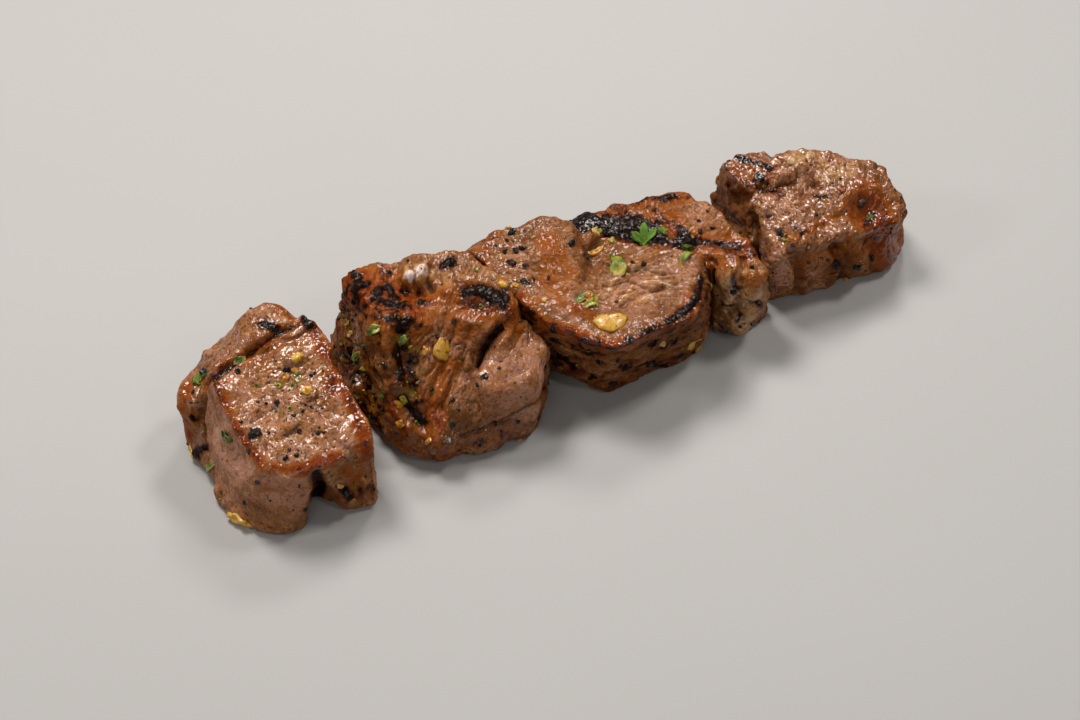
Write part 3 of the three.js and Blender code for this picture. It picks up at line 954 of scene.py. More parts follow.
chunk = Chunk("chunk_4", 4, (0.9, 0.3, 0))
CHUNK_4_DENTS = (
    (-0.7, 6.0, ((600, 228), (640, 232), (680, 240))),
    (1.2, 1.6, ((706, 262), (710, 295), (708, 330))),
    (-1.4, 4.6, ((728, 270), (730, 290))),
    (1.0, 1.5, ((742, 262), (742, 285), (736, 306))),
    (-1.2, 4.0, ((752, 282), (752, 304))),
    (-1.2, 4.6, ((722, 318), (736, 322))),
)
each(chunk.press, CHUNK_4_DENTS)
CHUNK_4_CORNERS = (
    (0.8, 6.0, ((760, 262), (760, 320))),
)
each(chunk.round_off, CHUNK_4_CORNERS)
CHUNK_4_DENTS_2 = (
    (1.8, 6.0, ((772, 266), (774, 292), (766, 322))),
)
each(chunk.press, CHUNK_4_DENTS_2)
CHUNK_4_LUMPS = (
    (1.6, 8.0, 3.2, ((728, 268), (750, 290), (742, 318))),
    (0.8, 6.0, 1.7, ((735, 262), (752, 290), (745, 322))),
    (0.5, 5.0, 1.7, ((705, 262), (730, 258))),
)
each(chunk.crumble, CHUNK_4_LUMPS)
CHUNK_4_BURNT = (
    (0.44, 10.0, 0.3, CHAR_STRIP),
    (1.0, 8.0, 0.55, ((574, 222), (605, 228), (640, 234), (672, 236), (686, 242))),
    (0.62, 3.6, 0.6, STRIP_END),
    (0.52, 3.0, 0.5, ((585, 214), (640, 202), (690, 196))),
    (0.36, 6.0, 0.8, ((650, 204), (690, 214), (714, 232))),
)
each(chunk.burn, CHUNK_4_BURNT)
CHUNK_4_BROWNED = (
    (1.1, 12.0, 0.4, CHAR_STRIP),
    (1.2, 5.0, 0.3, STRIP_END),
    (0.9, 4.6, 0.3, ((585, 214), (640, 202), (690, 196), (700, 200))),
    (0.6, 4.0, 0.6, ((716, 225), (735, 240))),
)
each(chunk.brown, CHUNK_4_BROWNED)
CHUNK_4_WET = (
    (0.8, 9.0, ((715, 270), (740, 290), (735, 325))),
)
each(chunk.baste, CHUNK_4_WET)
CHUNK_4_PINK = (
    (0.8, 8.0, ((690, 208), (706, 222))),
)
each(chunk.blush, CHUNK_4_PINK)
chunk.cook(0.5, 1.1, 0.4, 1.0, 0.12, rosy=0.2)
CHUNK_4_BASTED = (
    (0.55, 7.0, BLISTERS),
)
each(chunk.baste, CHUNK_4_BASTED)
CHUNK_4_BLISTERED = (
    (0.6, 7.0, 1.5, BLISTERS),
)
each(chunk.crumble, CHUNK_4_BLISTERED)
CHUNK_4_DRIED = (
    (0.7, 8.0, ((612, 206), (660, 200), (700, 206), (715, 225))),
)
each(chunk.dry, CHUNK_4_DRIED)
CHUNK_4_SPARED = (
    (0.6, 8.0, ((730, 285), (742, 310))),
    (0.6, 6.0, ((692, 210), (706, 222))),
    (0.9, 2.4, ((664, 232), (672, 236))),
)
each(chunk.calm, CHUNK_4_SPARED)
CHUNK_4_REDDENED = (
    (1.5, 3.0, 0.2, ((662, 230), (684, 238))),
    (0.9, 6.0, 0.6, FAT_EDGE),
)
each(chunk.brown, CHUNK_4_REDDENED)
CHUNK_4_SCORCHED = (
    (0.54, 5.0, 0.9, FAT_EDGE),
    (0.8, 1.0, 0.6, ((714, 272), (718, 282))),
    (0.8, 1.0, 0.6, ((734, 276), (740, 284))),
    (0.8, 1.0, 0.6, ((724, 300), (732, 304))),
    (0.8, 1.0, 0.6, ((744, 306), (740, 314))),
    (0.8, 1.0, 0.6, ((720, 322), (730, 330))),
    (0.8, 1.0, 0.6, ((752, 292), (756, 300))),
)
each(chunk.burn, CHUNK_4_SCORCHED)
CHUNK_4_FATTY = (
    (0.84, 10.0, ((722, 276), (742, 295), (735, 325))),
)
each(chunk.marble, CHUNK_4_FATTY, ragged=0.6)
chunk.serve()
chunks.append(chunk)

# ---- chunk_5: the end chunk, at the right ----
# A wet, reddish cut face slopes towards the front, with a darker lump behind it
# and an orange-brown crust round the end.

FACE_EDGE = ((786, 243), (812, 228), (843, 210), (850, 192))
CHUNK_5_FOOT = ((870, 240), (840, 272), (800, 280))
FACE_MIDDLE = ((780, 225), (815, 205), (835, 190))
WET_FACE = ((780, 222), (815, 205), (835, 190))

chunk = Chunk("chunk_5", 5, (-0.5, -0.8, 0.2))
CHUNK_5_CUTS = (
    ((784, 248), (845, 214), math.radians(40)),
    ((812, 240), (856, 190), math.radians(18)),
    ((786, 243), (890, 214), math.radians(58)),
)
each(chunk.shave, CHUNK_5_CUTS)
CHUNK_5_CORNERS = (
    (1.0, 6.0, ((784, 250), (845, 238), (900, 222))),
)
each(chunk.round_off, CHUNK_5_CORNERS)
CHUNK_5_DENTS = (
    (1.8, 2.6, ((735, 200), (760, 190), (790, 184))),
    (-1.4, 5.0, ((792, 164), (806, 172))),
    (2.6, 9.0, ((876, 215), (892, 240))),
    (1.5, 2.0, ((790, 254), (796, 268), (795, 288))),
    (1.9, 2.6, ((836, 248), (845, 262), (843, 280))),
    (1.0, 3.0, ((866, 242), (873, 254), (872, 264))),
)
each(chunk.press, CHUNK_5_DENTS)
CHUNK_5_CORNERS_2 = (
    (0.9, 7.0, ((768, 262), (780, 296))),
    (0.9, 7.0, ((886, 262), (904, 236))),
    (1.0, 8.0, ((780, 300), (820, 296), (860, 284), (890, 268))),
)
each(chunk.round_off, CHUNK_5_CORNERS_2)
CHUNK_5_LUMPS = (
    (1.5, 11.0, 4.6, ((776, 270), (820, 270), (870, 256))),
)
each(chunk.crumble, CHUNK_5_LUMPS)
CHUNK_5_DENTS_2 = (
    (1.2, 4.0, ((772, 290), (788, 300))),
)
each(chunk.press, CHUNK_5_DENTS_2)
CHUNK_5_BURNT = (
    (0.40, 1.4, 0.25, FACE_EDGE),
    (0.48, 9.0, 0.8, ((866, 206), (885, 222), (895, 245))),
    (0.84, 2.0, 0.5, ((738, 158), (752, 164), (770, 170))),
    (0.84, 1.6, 0.4, ((762, 190), (788, 184))),
    (0.46, 2.6, 0.4, ((797, 250), (800, 290))),
    (0.46, 2.6, 0.4, ((838, 244), (842, 278))),
    (0.40, 2.6, 0.4, ((868, 240), (872, 268))),
    (0.42, 12.0, 0.6, CHUNK_5_FOOT),
    (0.42, 8.0, 0.8, ((728, 186), (760, 178), (786, 190))),
    (0.24, 14.0, 1.2, FACE_MIDDLE),
)
each(chunk.burn, CHUNK_5_BURNT)
CHUNK_5_BROWNED = (
    (1.1, 2.4, 0.3, FACE_EDGE),
    (1.2, 11.0, 0.5, ((862, 200), (885, 222), (895, 245))),
    (0.7, 6.0, 0.7, ((800, 262), (840, 250), (870, 240))),
    (0.6, 9.0, 0.5, ((735, 178), (770, 180))),
    (1.3, 3.0, 0.3, ((848, 192), (856, 204), (852, 214))),
    (0.4, 12.0, 0.6, CHUNK_5_FOOT),
    (0.9, 9.0, 0.5, ((900, 236), (896, 262))),
    (0.25, 14.0, 1.2, FACE_MIDDLE),
)
each(chunk.brown, CHUNK_5_BROWNED)
CHUNK_5_WET = (
    (0.8, 8.0, ((866, 200), (888, 225), (896, 250))),
    (0.6, 7.0, ((735, 178), (770, 172), (805, 168))),
)
each(chunk.baste, CHUNK_5_WET)
CHUNK_5_PINK = (
    (1.0, 6.0, ((774, 256), (780, 292))),
    (0.9, 5.0, ((812, 268), (816, 292))),
)
each(chunk.blush, CHUNK_5_PINK)
chunk.cook(0.1, 1.1, 1.5, 1.0, 0.12)
CHUNK_5_SPARED = (
    (0.45, 10.0, WET_FACE),
    (0.75, 7.0, ((774, 256), (782, 292))),
    (0.7, 6.0, ((814, 262), (818, 292))),
    (0.5, 5.0, ((856, 262), (862, 274))),
)
each(chunk.calm, CHUNK_5_SPARED)
CHUNK_5_BASTED = (
    (1.0, 12.0, WET_FACE),
)
each(chunk.baste, CHUNK_5_BASTED)
CHUNK_5_FATTY = (
    (0.9, 2.8, ((790, 166), (808, 158))),
    (0.5, 5.0, ((820, 168), (846, 172))),
)
each(chunk.marble, CHUNK_5_FATTY, ragged=0.7)
chunk.serve()
chunks.append(chunk)

# ---- pepper, garlic_crumbs and herbs: the small seasoning that sticks to the meat ----
# Cracked black pepper, crumbs of dried garlic and chopped green herbs, rubbed on
# before grilling: the big ones each in its place, and the small ones strewn.


def landing(across, down):
    """The place, normal and chunk of the skin that the eye sees there in the picture."""
    eye, ahead = sight(across, down)
    hits = [chunk.skin.ray_cast(eye, ahead) + (chunk,) for chunk in chunks]
    hits = [hit for hit in hits if hit[0] is not None]
    if hits:
        place, normal, _, _, chunk = min(hits, key=lambda hit: hit[3])
        return place, normal, chunk
    passed = [eye + ahead * (EYE_AWAY + step * MM) for step in range(-60, 61, 2)]
    hits = [chunk.skin.find_nearest(spot) + (chunk,) for spot in passed for chunk in chunks]
    place, normal, _, _, chunk = min(hits, key=lambda hit: hit[3])
    return place, normal, chunk


def named(tree, kind, name):
    """The socket of a named attribute."""
    return put(tree, "GeometryNodeInputNamedAttribute", {"Name": name},
               data_type=kind).outputs["Attribute"]


def by_chance(tree, low, high, seed):
    """The socket of a number drawn between two others for each point."""
    return put(tree, "FunctionNodeRandomValue", {2: low, 3: high, "Seed": seed},
               data_type="FLOAT").outputs[1]


def keep(tree, geometry, kind, name, value):
    """The socket of a geometry whose points carry one more attribute."""
    return put(tree, "GeometryNodeStoreNamedAttribute", {
        "Geometry": geometry, "Name": name, "Value": value,
    }, data_type=kind, domain="POINT").outputs["Geometry"]


def crumb_tree():
    """Strews rough grains over a skin, and sets one on each placed point as well."""
    tree = bpy.data.node_groups.new("crumbs", "GeometryNodeTree")
    for name, kind in (
        ("Skin", "Geometry"), ("Placed", "Object"), ("Strewn per mm2", "Float"),
        ("Smallest", "Float"), ("Largest", "Float"), ("Flatness", "Float"),
        ("Knobs", "Float"), ("Lift", "Float"), ("Finish", "Material"),
    ):
        tree.interface.new_socket(name, in_out="INPUT", socket_type="NodeSocket" + kind)
    tree.interface.new_socket("Grains", in_out="OUTPUT", socket_type="NodeSocketGeometry")
    given = put(tree, "NodeGroupInput").outputs
    per_m2 = times(tree, named(tree, "FLOAT", "spice"), 1e6)
    strewn = put(tree, "GeometryNodeDistributePointsOnFaces", {
        "Mesh": given["Skin"],
        "Density": times(tree, per_m2, given["Strewn per mm2"]),
        "Seed": 7,
    }, distribute_method="RANDOM")
    points = keep(tree, strewn.outputs["Points"], "FLOAT_VECTOR", "lean", strewn.outputs["Normal"])
    chance = by_chance(tree, 0.0, 1.0, 3)
    for _ in range(2):
        chance = times(tree, chance, chance)
    size = put(tree, "ShaderNodeMapRange", {
        "Value": chance, "To Min": given["Smallest"], "To Max": given["Largest"],
    }).outputs["Result"]
    points = keep(tree, points, "FLOAT", "size", size)
    by_hand = put(tree, "GeometryNodeObjectInfo", {"Object": given["Placed"]}).outputs["Geometry"]
    both = put(tree, "GeometryNodeJoinGeometry")
    tree.links.new(points, both.inputs[0])
    tree.links.new(by_hand, both.inputs[0])
    size = named(tree, "FLOAT", "size")
    lean = named(tree, "FLOAT_VECTOR", "lean")
    raised = put(tree, "ShaderNodeVectorMath", {
        0: lean, "Scale": times(tree, size, given["Lift"]),
    }, operation="SCALE").outputs["Vector"]
    seats = put(tree, "GeometryNodeSetPosition", {
        "Geometry": both.outputs[0], "Offset": raised,
    }).outputs["Geometry"]
    seats = keep(tree, seats, "FLOAT", "shade", by_chance(tree, 0.0, 1.0, 31))
    upright = put(tree, "FunctionNodeAlignRotationToVector", {"Vector": lean}, axis="Z")
    spin = put(tree, "FunctionNodeAxisAngleToRotation", {
        "Axis": (0, 0, 1), "Angle": by_chance(tree, 0.0, 2 * math.pi, 11),
    })
    turned = put(tree, "FunctionNodeRotateRotation", {
        "Rotation": upright.outputs[0], "Rotate By": spin.outputs[0],
    }, rotation_space="LOCAL")
    girth = put(tree, "ShaderNodeCombineXYZ", {
        "X": times(tree, size, by_chance(tree, 0.9, 1.25, 21)),
        "Y": times(tree, size, by_chance(tree, 0.6, 1.0, 22)),
        "Z": times(tree, times(tree, size, given["Flatness"]), by_chance(tree, 0.7, 1.2, 23)),
    })
    grain = put(tree, "GeometryNodeMeshIcoSphere", {"Radius": 0.5, "Subdivisions": 2})
    set_down = put(tree, "GeometryNodeInstanceOnPoints", {
        "Points": seats,
        "Instance": grain.outputs["Mesh"],
        "Rotation": turned.outputs[0],
        "Scale": girth.outputs[0],
    })
    real = put(tree, "GeometryNodeRealizeInstances", {"Geometry": set_down.outputs[0]}).outputs[0]
    rough = put(tree, "ShaderNodeTexNoise", {"Scale": 1100.0, "Detail": 1.0}).outputs["Fac"]
    push = times(tree, swing(tree, rough), named(tree, "FLOAT", "size"))
    push = times(tree, push, given["Knobs"])
    knobbly = put(tree, "GeometryNodeSetPosition", {
        "Geometry": real,
        "Offset": put(tree, "ShaderNodeVectorMath", {
            0: put(tree, "GeometryNodeInputNormal").outputs["Normal"], "Scale": push,
        }, operation="SCALE").outputs["Vector"],
    }).outputs["Geometry"]
    finished = put(tree, "GeometryNodeSetMaterial", {
        "Geometry": knobbly, "Material": given["Finish"],
    })
    put(tree, "NodeGroupOutput", {"Grains": finished.outputs["Geometry"]})
    return tree


grains = crumb_tree()


def joined_skins():
    """One mesh of all the chunks' skins, with room for a spice value."""
    starts = np.cumsum([0] + [len(chunk.points) for chunk in chunks])
    skins = bpy.data.meshes.new("skins")
    skins.from_pydata(
        np.concatenate([chunk.points for chunk in chunks]) * MM,
        [],
        np.concatenate([chunk.quads + start for chunk, start in zip(chunks, starts)]),
    )
    skins.attributes.new("spice", "FLOAT", "POINT")
    return skins


skins = joined_skins()
BARE_FOOT = (0.6, 1.4)


def strew(name, spice, places, finish, sizes):
    """Makes one piece of all the grains of a kind, strewn by spice and set at listed places."""
    amount = np.clip(np.concatenate([spice(chunk) for chunk in chunks]), 0, 3)
    amount *= step_up(np.concatenate([chunk.points[:, 2] for chunk in chunks]), *BARE_FOOT)
    skins.attributes["spice"].data.foreach_set("value", amount.astype(np.float32))
    set_by_hand = bpy.data.meshes.new("by hand")
    seats = [landing(across, down)[:2] for across, down, _ in places]
    set_by_hand.from_pydata([place for place, _ in seats], [], [])
    kept = set_by_hand.attributes.new("lean", "FLOAT_VECTOR", "POINT")
    kept.data.foreach_set("vector", [axis for _, normal in seats for axis in normal])
    kept = set_by_hand.attributes.new("size", "FLOAT", "POINT")
    kept.data.foreach_set("value", [size * MM for _, _, size in places])
    placed = show(set_by_hand, "by hand")
    host = show(skins, "host")
    sown = host.modifiers.new("sown", "NODES")
    sown.node_group = grains
    inputs = {item.name: item.identifier for item in grains.interface.items_tree
              if item.in_out == "INPUT"}
    for label, value in {**sizes, "Placed": placed, "Finish": finish}.items():
        sown[inputs[label]] = value
    view = bpy.context.evaluated_depsgraph_get()
    mesh = bpy.data.meshes.new_from_object(host.evaluated_get(view))
    bpy.data.objects.remove(host)
    bpy.data.objects.remove(placed)
    points = points_of(mesh)
    points[:, 2] = np.maximum(points[:, 2], LOWEST_MM)
    mesh.vertices.foreach_set("co", (points * MM).astype(np.float32).ravel())
    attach(show(mesh, name), "root")


GRIT_DEPTH = 0.0002


def seasoning_material(name, shades, rough, coat):
    """A seasoning's finish: its colour runs through the shades from grain to grain."""
    material, tree, place = blank_material(name)
    shade = put(tree, "ShaderNodeAttribute", attribute_name="shade").outputs["Fac"]
    mottle = mottling(tree, place, 1900.0)
    both = sums(tree, shade, swing(tree, mottle), 0.5)
    colour = mixed(tree, spread(tree, both, 0.0, 0.5), shades[0], shades[1])
    lay(tree, {
        "Base Color": mixed(tree, spread(tree, both, 0.5, 1.0), colour, shades[2]),
        "Roughness": rough,
        "Specular IOR Level": 0.25,
        "Coat Weight": coat,
        "Coat Roughness": 0.12,
        "Coat IOR": 1.4,
        "Normal": dents(tree, mottle, 0.5, GRIT_DEPTH),
    })
    return material


PEPPER_PLACES = (
    (276, 402, 2.0), (255, 433, 2.7), (238, 371, 1.7), (286, 370, 1.6), (311, 375, 1.3),
    (300, 431, 1.4), (318, 433, 1.2), (286, 458, 1.4), (290, 450, 1.1), (257, 482, 1.2),
    (299, 486, 1.2), (245, 503, 1.3), (293, 510, 1.0), (305, 510, 1.0), (346, 493, 1.8),
    (369, 488, 1.6), (303, 412, 1.1), (204, 372, 2.0), (193, 392, 1.2), (248, 452, 1.4),
    (452, 425, 1.7), (448, 440, 2.2), (484, 377, 2.0), (432, 390, 1.3), (415, 360, 1.6),
    (437, 337, 1.0), (413, 373, 1.8), (520, 322, 1.1), (454, 322, 1.4), (340, 318, 1.4),
    (512, 232, 1.6), (507, 240, 1.3), (516, 250, 1.7), (522, 249, 1.9), (505, 252, 1.3),
    (513, 262, 1.5), (526, 265, 1.3), (524, 281, 1.6), (534, 279, 1.1), (506, 287, 1.3),
    (586, 254, 2.2), (572, 243, 1.6), (644, 264, 1.5), (586, 340, 1.3), (631, 338, 1.9),
    (650, 366, 1.5), (612, 384, 1.5), (618, 360, 1.2), (632, 262, 1.2), (700, 232, 1.3),
    (712, 228, 1.2), (708, 240, 1.1), (780, 234, 1.8), (860, 204, 2.4), (817, 196, 1.7),
    (835, 265, 2.6), (858, 266, 2.4), (872, 258, 2.0), (734, 292, 1.5), (752, 268, 1.4),
)
pepper_finish = seasoning_material(
    "cracked pepper",
    ((0.004, 0.003, 0.003, 1), (0.013, 0.007, 0.005, 1), (0.060, 0.028, 0.015, 1)), 0.42, 0.3,
)
strew(
    "pepper",
    lambda chunk: 0.22 + 0.7 * noise_at(chunk.points, 6.0, chunk.seed + 41) + chunk.peppery,
    PEPPER_PLACES,
    pepper_finish,
    {"Strewn per mm2": 0.20, "Smallest": 0.18 * MM, "Largest": 1.3 * MM, "Flatness": 0.55,
     "Knobs": 1.2, "Lift": 0.02},
)

CRUMB_PLACES = (
    (425, 350, 2.2), (333, 346, 1.6), (287, 428, 1.4), (188, 452, 1.4), (212, 462, 1.5),
    (307, 391, 2.4), (285, 378, 2.0), (588, 298, 2.2), (595, 232, 2.6), (694, 232, 1.0),
    (663, 344, 1.8), (700, 352, 2.0), (846, 288, 2.0), (790, 238, 1.2), (398, 404, 2.4),
    (340, 486, 1.4), (352, 500, 1.7), (362, 478, 1.3), (330, 505, 1.2), (295, 370, 1.6),
    (400, 424, 2.2), (350, 334, 1.6), (365, 392, 1.6), (428, 441, 1.6), (508, 226, 1.8),
    (502, 284, 1.8), (516, 286, 1.6), (545, 300, 1.6), (520, 440, 1.3), (545, 408, 1.2),
)
crumb_finish = seasoning_material(
    "dried garlic crumbs",
    ((0.36, 0.11, 0.010, 1), (0.50, 0.24, 0.025, 1), (0.55, 0.36, 0.12, 1)), 0.34, 0.4,
)
strew(
    "garlic_crumbs",
    lambda chunk: 0.25 + 0.9 * noise_at(chunk.points, 8.0, chunk.seed + 51),
    CRUMB_PLACES,
    crumb_finish,
    {"Strewn per mm2": 0.045, "Smallest": 0.22 * MM, "Largest": 1.1 * MM, "Flatness": 0.5,
     "Knobs": 0.9, "Lift": 0.06},
)

HERB_PLACES = (
    (199, 380, 3.0), (240, 363, 2.6), (225, 435, 2.4), (373, 331, 2.6), (402, 340, 2.0),
    (355, 357, 2.4), (382, 395, 1.6), (358, 345, 1.6), (404, 400, 2.2), (582, 297, 2.2),
    (595, 303, 3.0), (598, 231, 2.0), (612, 240, 1.6), (688, 251, 3.0), (870, 217, 1.6),
    (785, 240, 1.4), (205, 376, 2.0), (374, 392, 1.6), (690, 225, 1.0), (297, 372, 1.4),
)
herb_finish = seasoning_material(
    "chopped herbs",
    ((0.022, 0.030, 0.002, 1), (0.110, 0.140, 0.003, 1), (0.34, 0.28, 0.015, 1)), 0.45, 0.15,
)
strew(
    "herbs",
    lambda chunk: 0.06 + 0.12 * noise_at(chunk.points, 9.0, chunk.seed + 61) + chunk.herby,
    HERB_PLACES,
    herb_finish,
    {"Strewn per mm2": 0.20, "Smallest": 0.3 * MM, "Largest": 1.6 * MM, "Flatness": 0.3,
     "Knobs": 1.0, "Lift": 0.05},
)

# ---- garlic_flakes: slices of dried garlic ----
# Thin amber slices of a clove, dried hard and browned at the rim, that lie stuck
# to the skin by their own juice.

FLAKES = (
    ((594, 323), (628, 319), 5.0, 0.8, 0.12),
    ((436, 357), (445, 339), 3.4, 0.8, 0.2),
    ((291, 361), (303, 354), 2.4, 0.9, 0.4),
    ((228, 511), (252, 530), 3.0, 1.3, 0.9),
    ((588, 256), (603, 249), 1.8, 0.7, 0.3),
    ((300, 392), (313, 389), 2.2, 0.7, 0.5),
    ((497, 281), (508, 287), 2.2, 0.8, 0.4),
    ((686, 346), (697, 340), 1.8, 0.8, 0.4),
    ((183, 447), (193, 456), 1.6, 0.8, 0.4),
)
RAISED_SHARE = 0.20


def wafer(outline, thickness, heights, rings=7, around=44):
    """Points and faces of a thin rounded body: two skins that meet at the rim of an outline."""
    turn = np.arange(around) * 2 * math.pi / around
    rim = outline(turn)
    points, faces = [], []
    for side in (1, -1):
        first = len(points)
        points.append((0, 0, side * thickness / 2 + heights(np.zeros(1), np.zeros(1))[0]))
        for ring in range(1, rings + 1):
            share = ring / rings
            x, y = (rim * share).T
            half = side * thickness / 2 * math.sqrt(max(1 - share ** 3, 0)) + heights(x, y)
            points += list(zip(x, y, half))
        for ring in range(rings):
            for step in range(around):
                here, beside = first + 1 + (ring - 1) * around, (step + 1) % around
                outer = here + around
                face = [outer + step, outer + beside, here + beside, here + step]
                if ring == 0:
                    face = [outer + step, outer + beside, first]
                faces.append(face if side == 1 else face[::-1])
    return np.array(points), faces


def laid(points, place, normal, along, skin):
    """Points of a flat thing that lies at a place on a skin and is bent to follow it."""
    up = np.array(normal)
    ahead = np.array(along) - up * (np.array(along) @ up)
    ahead /= np.linalg.norm(ahead)
    turned = np.stack([ahead, np.cross(up, ahead), up])
    points = np.array(points)
    x, y = points[:, 0], points[:, 1]
    terms = np.stack([x * 0 + 1, x, y, x * x, x * y, y * y], 1)
    seats = terms[:, 1:3] @ turned[:2] + np.array(place) / MM
    hits = [skin.ray_cast(Vector(seat + up * 3) * MM, Vector(-up), 6 * MM)[0] for seat in seats]
    found = np.array([hit is not None for hit in hits])
    rise = np.array([(np.array(hit) / MM - seat) @ up for hit, seat in zip(hits, seats) if hit])
    if found.sum() > 20:
        points[:, 2] += terms @ np.linalg.lstsq(terms[found], rise, rcond=None)[0]
    points = points @ turned + np.array(place) / MM
    points[:, 2] = np.maximum(points[:, 2], LOWEST_MM)
    return points


def joined(name, parts):
    """One mesh of several (points in mm, faces), with its doubles merged."""
    whole = bmesh.new()
    for points, faces in parts:
        corners = [whole.verts.new(point * MM) for point in points]
        for face in faces:
            whole.faces.new([corners[i] for i in face])
    bmesh.ops.remove_doubles(whole, verts=whole.verts, dist=1e-6)
    bmesh.ops.recalc_face_normals(whole, faces=whole.faces)
    for face in whole.faces:
        face.smooth = True
    mesh = bpy.data.meshes.new(name)
    whole.to_mesh(mesh)
    whole.free()
    return mesh


slices = []
for number, (start, end, width, thickness, lumps) in enumerate(FLAKES):
    place, normal, chunk = landing((start[0] + end[0]) / 2, (start[1] + end[1]) / 2)
    along = landing(*end)[0] - landing(*start)[0]
    length = along.length / MM

    def slice_rim(turn):
        """A rounded slice, flatter along one side, with a wavy rim."""
        flat = 1 - 0.22 * np.clip(np.sin(turn), 0, 1) ** 2
        wave = 1 + (0.03 + 0.16 * lumps) * np.sin(3 * turn + number)
        wave += (0.03 + 0.06 * lumps) * np.sin(7 * turn + 2 * number)
        return np.stack([
            np.cos(turn) * length / 2 * wave, np.sin(turn) * width / 2 * wave * flat,
        ], 1)

    def slice_height(x, y):
        """The slice's gentle cup and its dents."""
        dent = noise_at(np.stack([x, y, x * 0 + number], 1), 1.6, 3)
        return 0.06 * x ** 2 / max(length, 1) + lumps * dent

    points, faces = wafer(slice_rim, thickness, slice_height)
    points[:, 2] += thickness * RAISED_SHARE
    slices.append((laid(points, place, normal, along, chunk.skin), faces))

garlic, tree, place = blank_material("dried garlic")
cloud = mottling(tree, place, 620.0, 3.0)
spots = mottling(tree, place, 1100.0)
cloud = spread(tree, cloud, 0.35, 0.65)
colour = mixed(tree, cloud, (0.56, 0.25, 0.012, 1), (0.66, 0.40, 0.060, 1))
lay(tree, {
    "Base Color": mixed(tree, spread(tree, spots, 0.60, 0.68), colour, (0.20, 0.04, 0.004, 1)),
    "Roughness": 0.32,
    "Subsurface Weight": 0.35,
    "Subsurface Radius": (1.0, 0.5, 0.12),
    "Subsurface Scale": 0.001,
    "Coat Weight": 0.2,
    "Coat Roughness": 0.1,
    "Normal": dents(tree, spots, 0.5, GRIT_DEPTH),
})
flakes = show(joined("garlic_flakes", slices), "garlic_flakes")
flakes.data.materials.append(garlic)
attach(flakes, "root")

# ---- herb_flakes: bits of dried green leaf ----
# Curled bits of leaf from the marinade, some still bright green and some gone
# yellow, stuck flat to the meat.

HERB_BITS = (
    ((574, 300), (594, 297), 2.2),
    ((584, 306), (597, 300), 1.6),
    ((618, 252), (620, 276), 3.4),
    ((682, 256), (695, 249), 1.8),
    ((195, 384), (204, 375), 2.0),
    ((234, 366), (246, 360), 1.8),
    ((220, 431), (231, 441), 1.8),
    ((368, 334), (379, 327), 2.0),
    ((398, 345), (408, 336), 1.6),
    ((350, 362), (360, 353), 1.8),
    ((205, 470), (214, 463), 1.4),
)
BIT_THICKNESS = 0.25
BIT_LIFT = 0.22

bits = []
for number, (start, end, width) in enumerate(HERB_BITS):
    place, normal, chunk = landing((start[0] + end[0]) / 2, (start[1] + end[1]) / 2)
    along = landing(*end)[0] - landing(*start)[0]
    length = along.length / MM

    def bit_rim(turn):
        """A torn bit of leaf: a pointed oval with a ragged rim."""
        point = np.abs(np.cos(turn)) ** 0.6 * np.sign(np.cos(turn))
        tear = 1 + 0.16 * np.sin(5 * turn + number) + 0.10 * np.sin(9 * turn + 3 * number)
        return np.stack([point * length / 2, np.sin(turn) * width / 2 * tear], 1)

    def bit_height(x, y):
        """The bit's fold along its vein and its curled ends."""
        return 0.35 * np.abs(y) - 0.12 * np.abs(x) + 0.25 * np.sin(x * 1.4 + number)

    points, faces = wafer(bit_rim, BIT_THICKNESS, bit_height, rings=5, around=36)
    points[:, 2] += BIT_LIFT
    bits.append((laid(points, place, normal, along, chunk.skin), faces))

leafy, tree, place = blank_material("dried leaf")
cloud = mottling(tree, place, 330.0, 3.0)
cells = mottling(tree, place, 1700.0)
yellow = spread(tree, cloud, 0.40, 0.52)
colour = mixed(tree, yellow, (0.070, 0.115, 0.002, 1), (0.26, 0.25, 0.012, 1))
lay(tree, {
    "Base Color": mixed(tree, spread(tree, cloud, 0.54, 0.66), colour, (0.50, 0.40, 0.10, 1)),
    "Roughness": 0.42,
    "Coat Weight": 0.2,
    "Coat Roughness": 0.12,
    "Normal": dents(tree, cells, 0.5, GRIT_DEPTH),
})
flecks = show(joined("herb_flakes", bits), "herb_flakes")
flecks.data.materials.append(leafy)
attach(flecks, "root")

# ---- parsley: the fresh leaf on the char ----
# One leaf of parsley with three toothed lobes and a small leaflet beside it,
# laid on after grilling.

LEAF_LOBES = ((-44, 4.5), (-2, 5.1), (42, 4.3))
LEAF_THICKNESS = 0.3
LEAF_TURN = math.radians(62)
LEAF_BACK = 2.3
LEAF_LIFT = 0.35
LEAFLET_AWAY = Vector((3.9, -2.2, 0.6)) * MM
LEAFLET_SIZE = 0.42


def leaf_rim(turn):
    """The rim of a leaf with toothed lobes; its stalk end is at the origin."""
    reach = np.full(len(turn), 0.5)
    for middle, length in LEAF_LOBES:
        off = (turn - math.radians(middle) + math.pi) % (2 * math.pi) - math.pi
        lobe = np.clip(1 - (off / 0.40) ** 2, 0, 1) ** 0.36
        tooth = 1 - 0.12 * np.abs(np.sin(off * 7.5)) ** 0.7
        reach = np.maximum(reach, length * lobe * tooth)
    return np.stack([np.cos(turn), np.sin(turn)], 1) * reach[:, None]


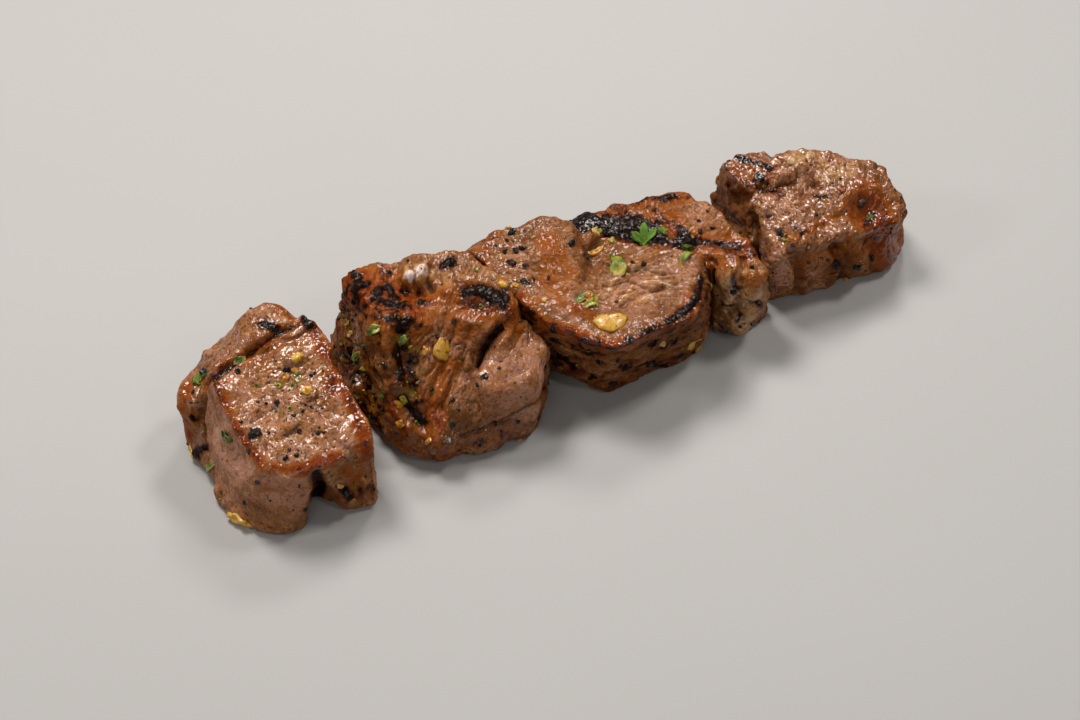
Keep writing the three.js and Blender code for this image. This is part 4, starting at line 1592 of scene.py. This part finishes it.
def leaf_height(x, y):
    """The lobes' lift from the stalk, and the dip along each vein."""
    out = np.hypot(x, y)
    turn = np.arctan2(y, x)
    height = 0.10 * out + 0.25 * np.sin(turn * 3 + 0.4) * np.clip(out / 3, 0, 1)
    for middle, _ in LEAF_LOBES:
        off = np.abs(turn - math.radians(middle)) * out
        height -= 0.14 * np.exp(-(off / 0.22) ** 2) * np.clip(out, 0, 1)
    return height


low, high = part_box("parsley_leaf")
middle = (low + high) / 2
leaf_place, leaf_normal, chunk = min(
    (chunk.skin.find_nearest(middle)[:2] + (chunk,) for chunk in chunks),
    key=lambda hit: (hit[0] - middle).length,
)
leaf_normal = (leaf_normal + Vector((0, 0, 2))).normalized()
stalk_way = Vector((math.cos(LEAF_TURN), math.sin(LEAF_TURN), 0))
points, faces = wafer(leaf_rim, LEAF_THICKNESS, leaf_height, rings=9, around=120)
points[:, 0] -= LEAF_BACK
points[:, 2] += LEAF_LIFT
leaf = laid(points, leaf_place, leaf_normal, stalk_way, chunk.skin)
points, faces_small = wafer(leaf_rim, LEAF_THICKNESS, leaf_height, rings=6, around=80)
points *= (LEAFLET_SIZE, LEAFLET_SIZE, 1)
small_leaf = laid(points, leaf_place + LEAFLET_AWAY, leaf_normal, stalk_way, chunk.skin)

parsley, tree, place = blank_material("parsley")
cloud = spread(tree, mottling(tree, place, 500.0, 3.0), 0.3, 0.7)
cells = put(tree, "ShaderNodeTexVoronoi", {"Vector": place, "Scale": 1500.0}).outputs["Distance"]
lay(tree, {
    "Base Color": mixed(tree, cloud, (0.055, 0.135, 0.002, 1), (0.115, 0.230, 0.004, 1)),
    "Roughness": 0.5,
    "Subsurface Weight": 0.15,
    "Subsurface Radius": (0.3, 1.0, 0.1),
    "Subsurface Scale": 0.0006,
    "Specular IOR Level": 0.3,
    "Normal": dents(tree, cells, 0.35, GRIT_DEPTH),
})
sprig = show(joined("parsley_sprig", [(leaf, faces), (small_leaf, faces_small)]), "parsley_sprig")
sprig.data.materials.append(parsley)
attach(sprig, "root")
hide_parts("parsley_leaf")
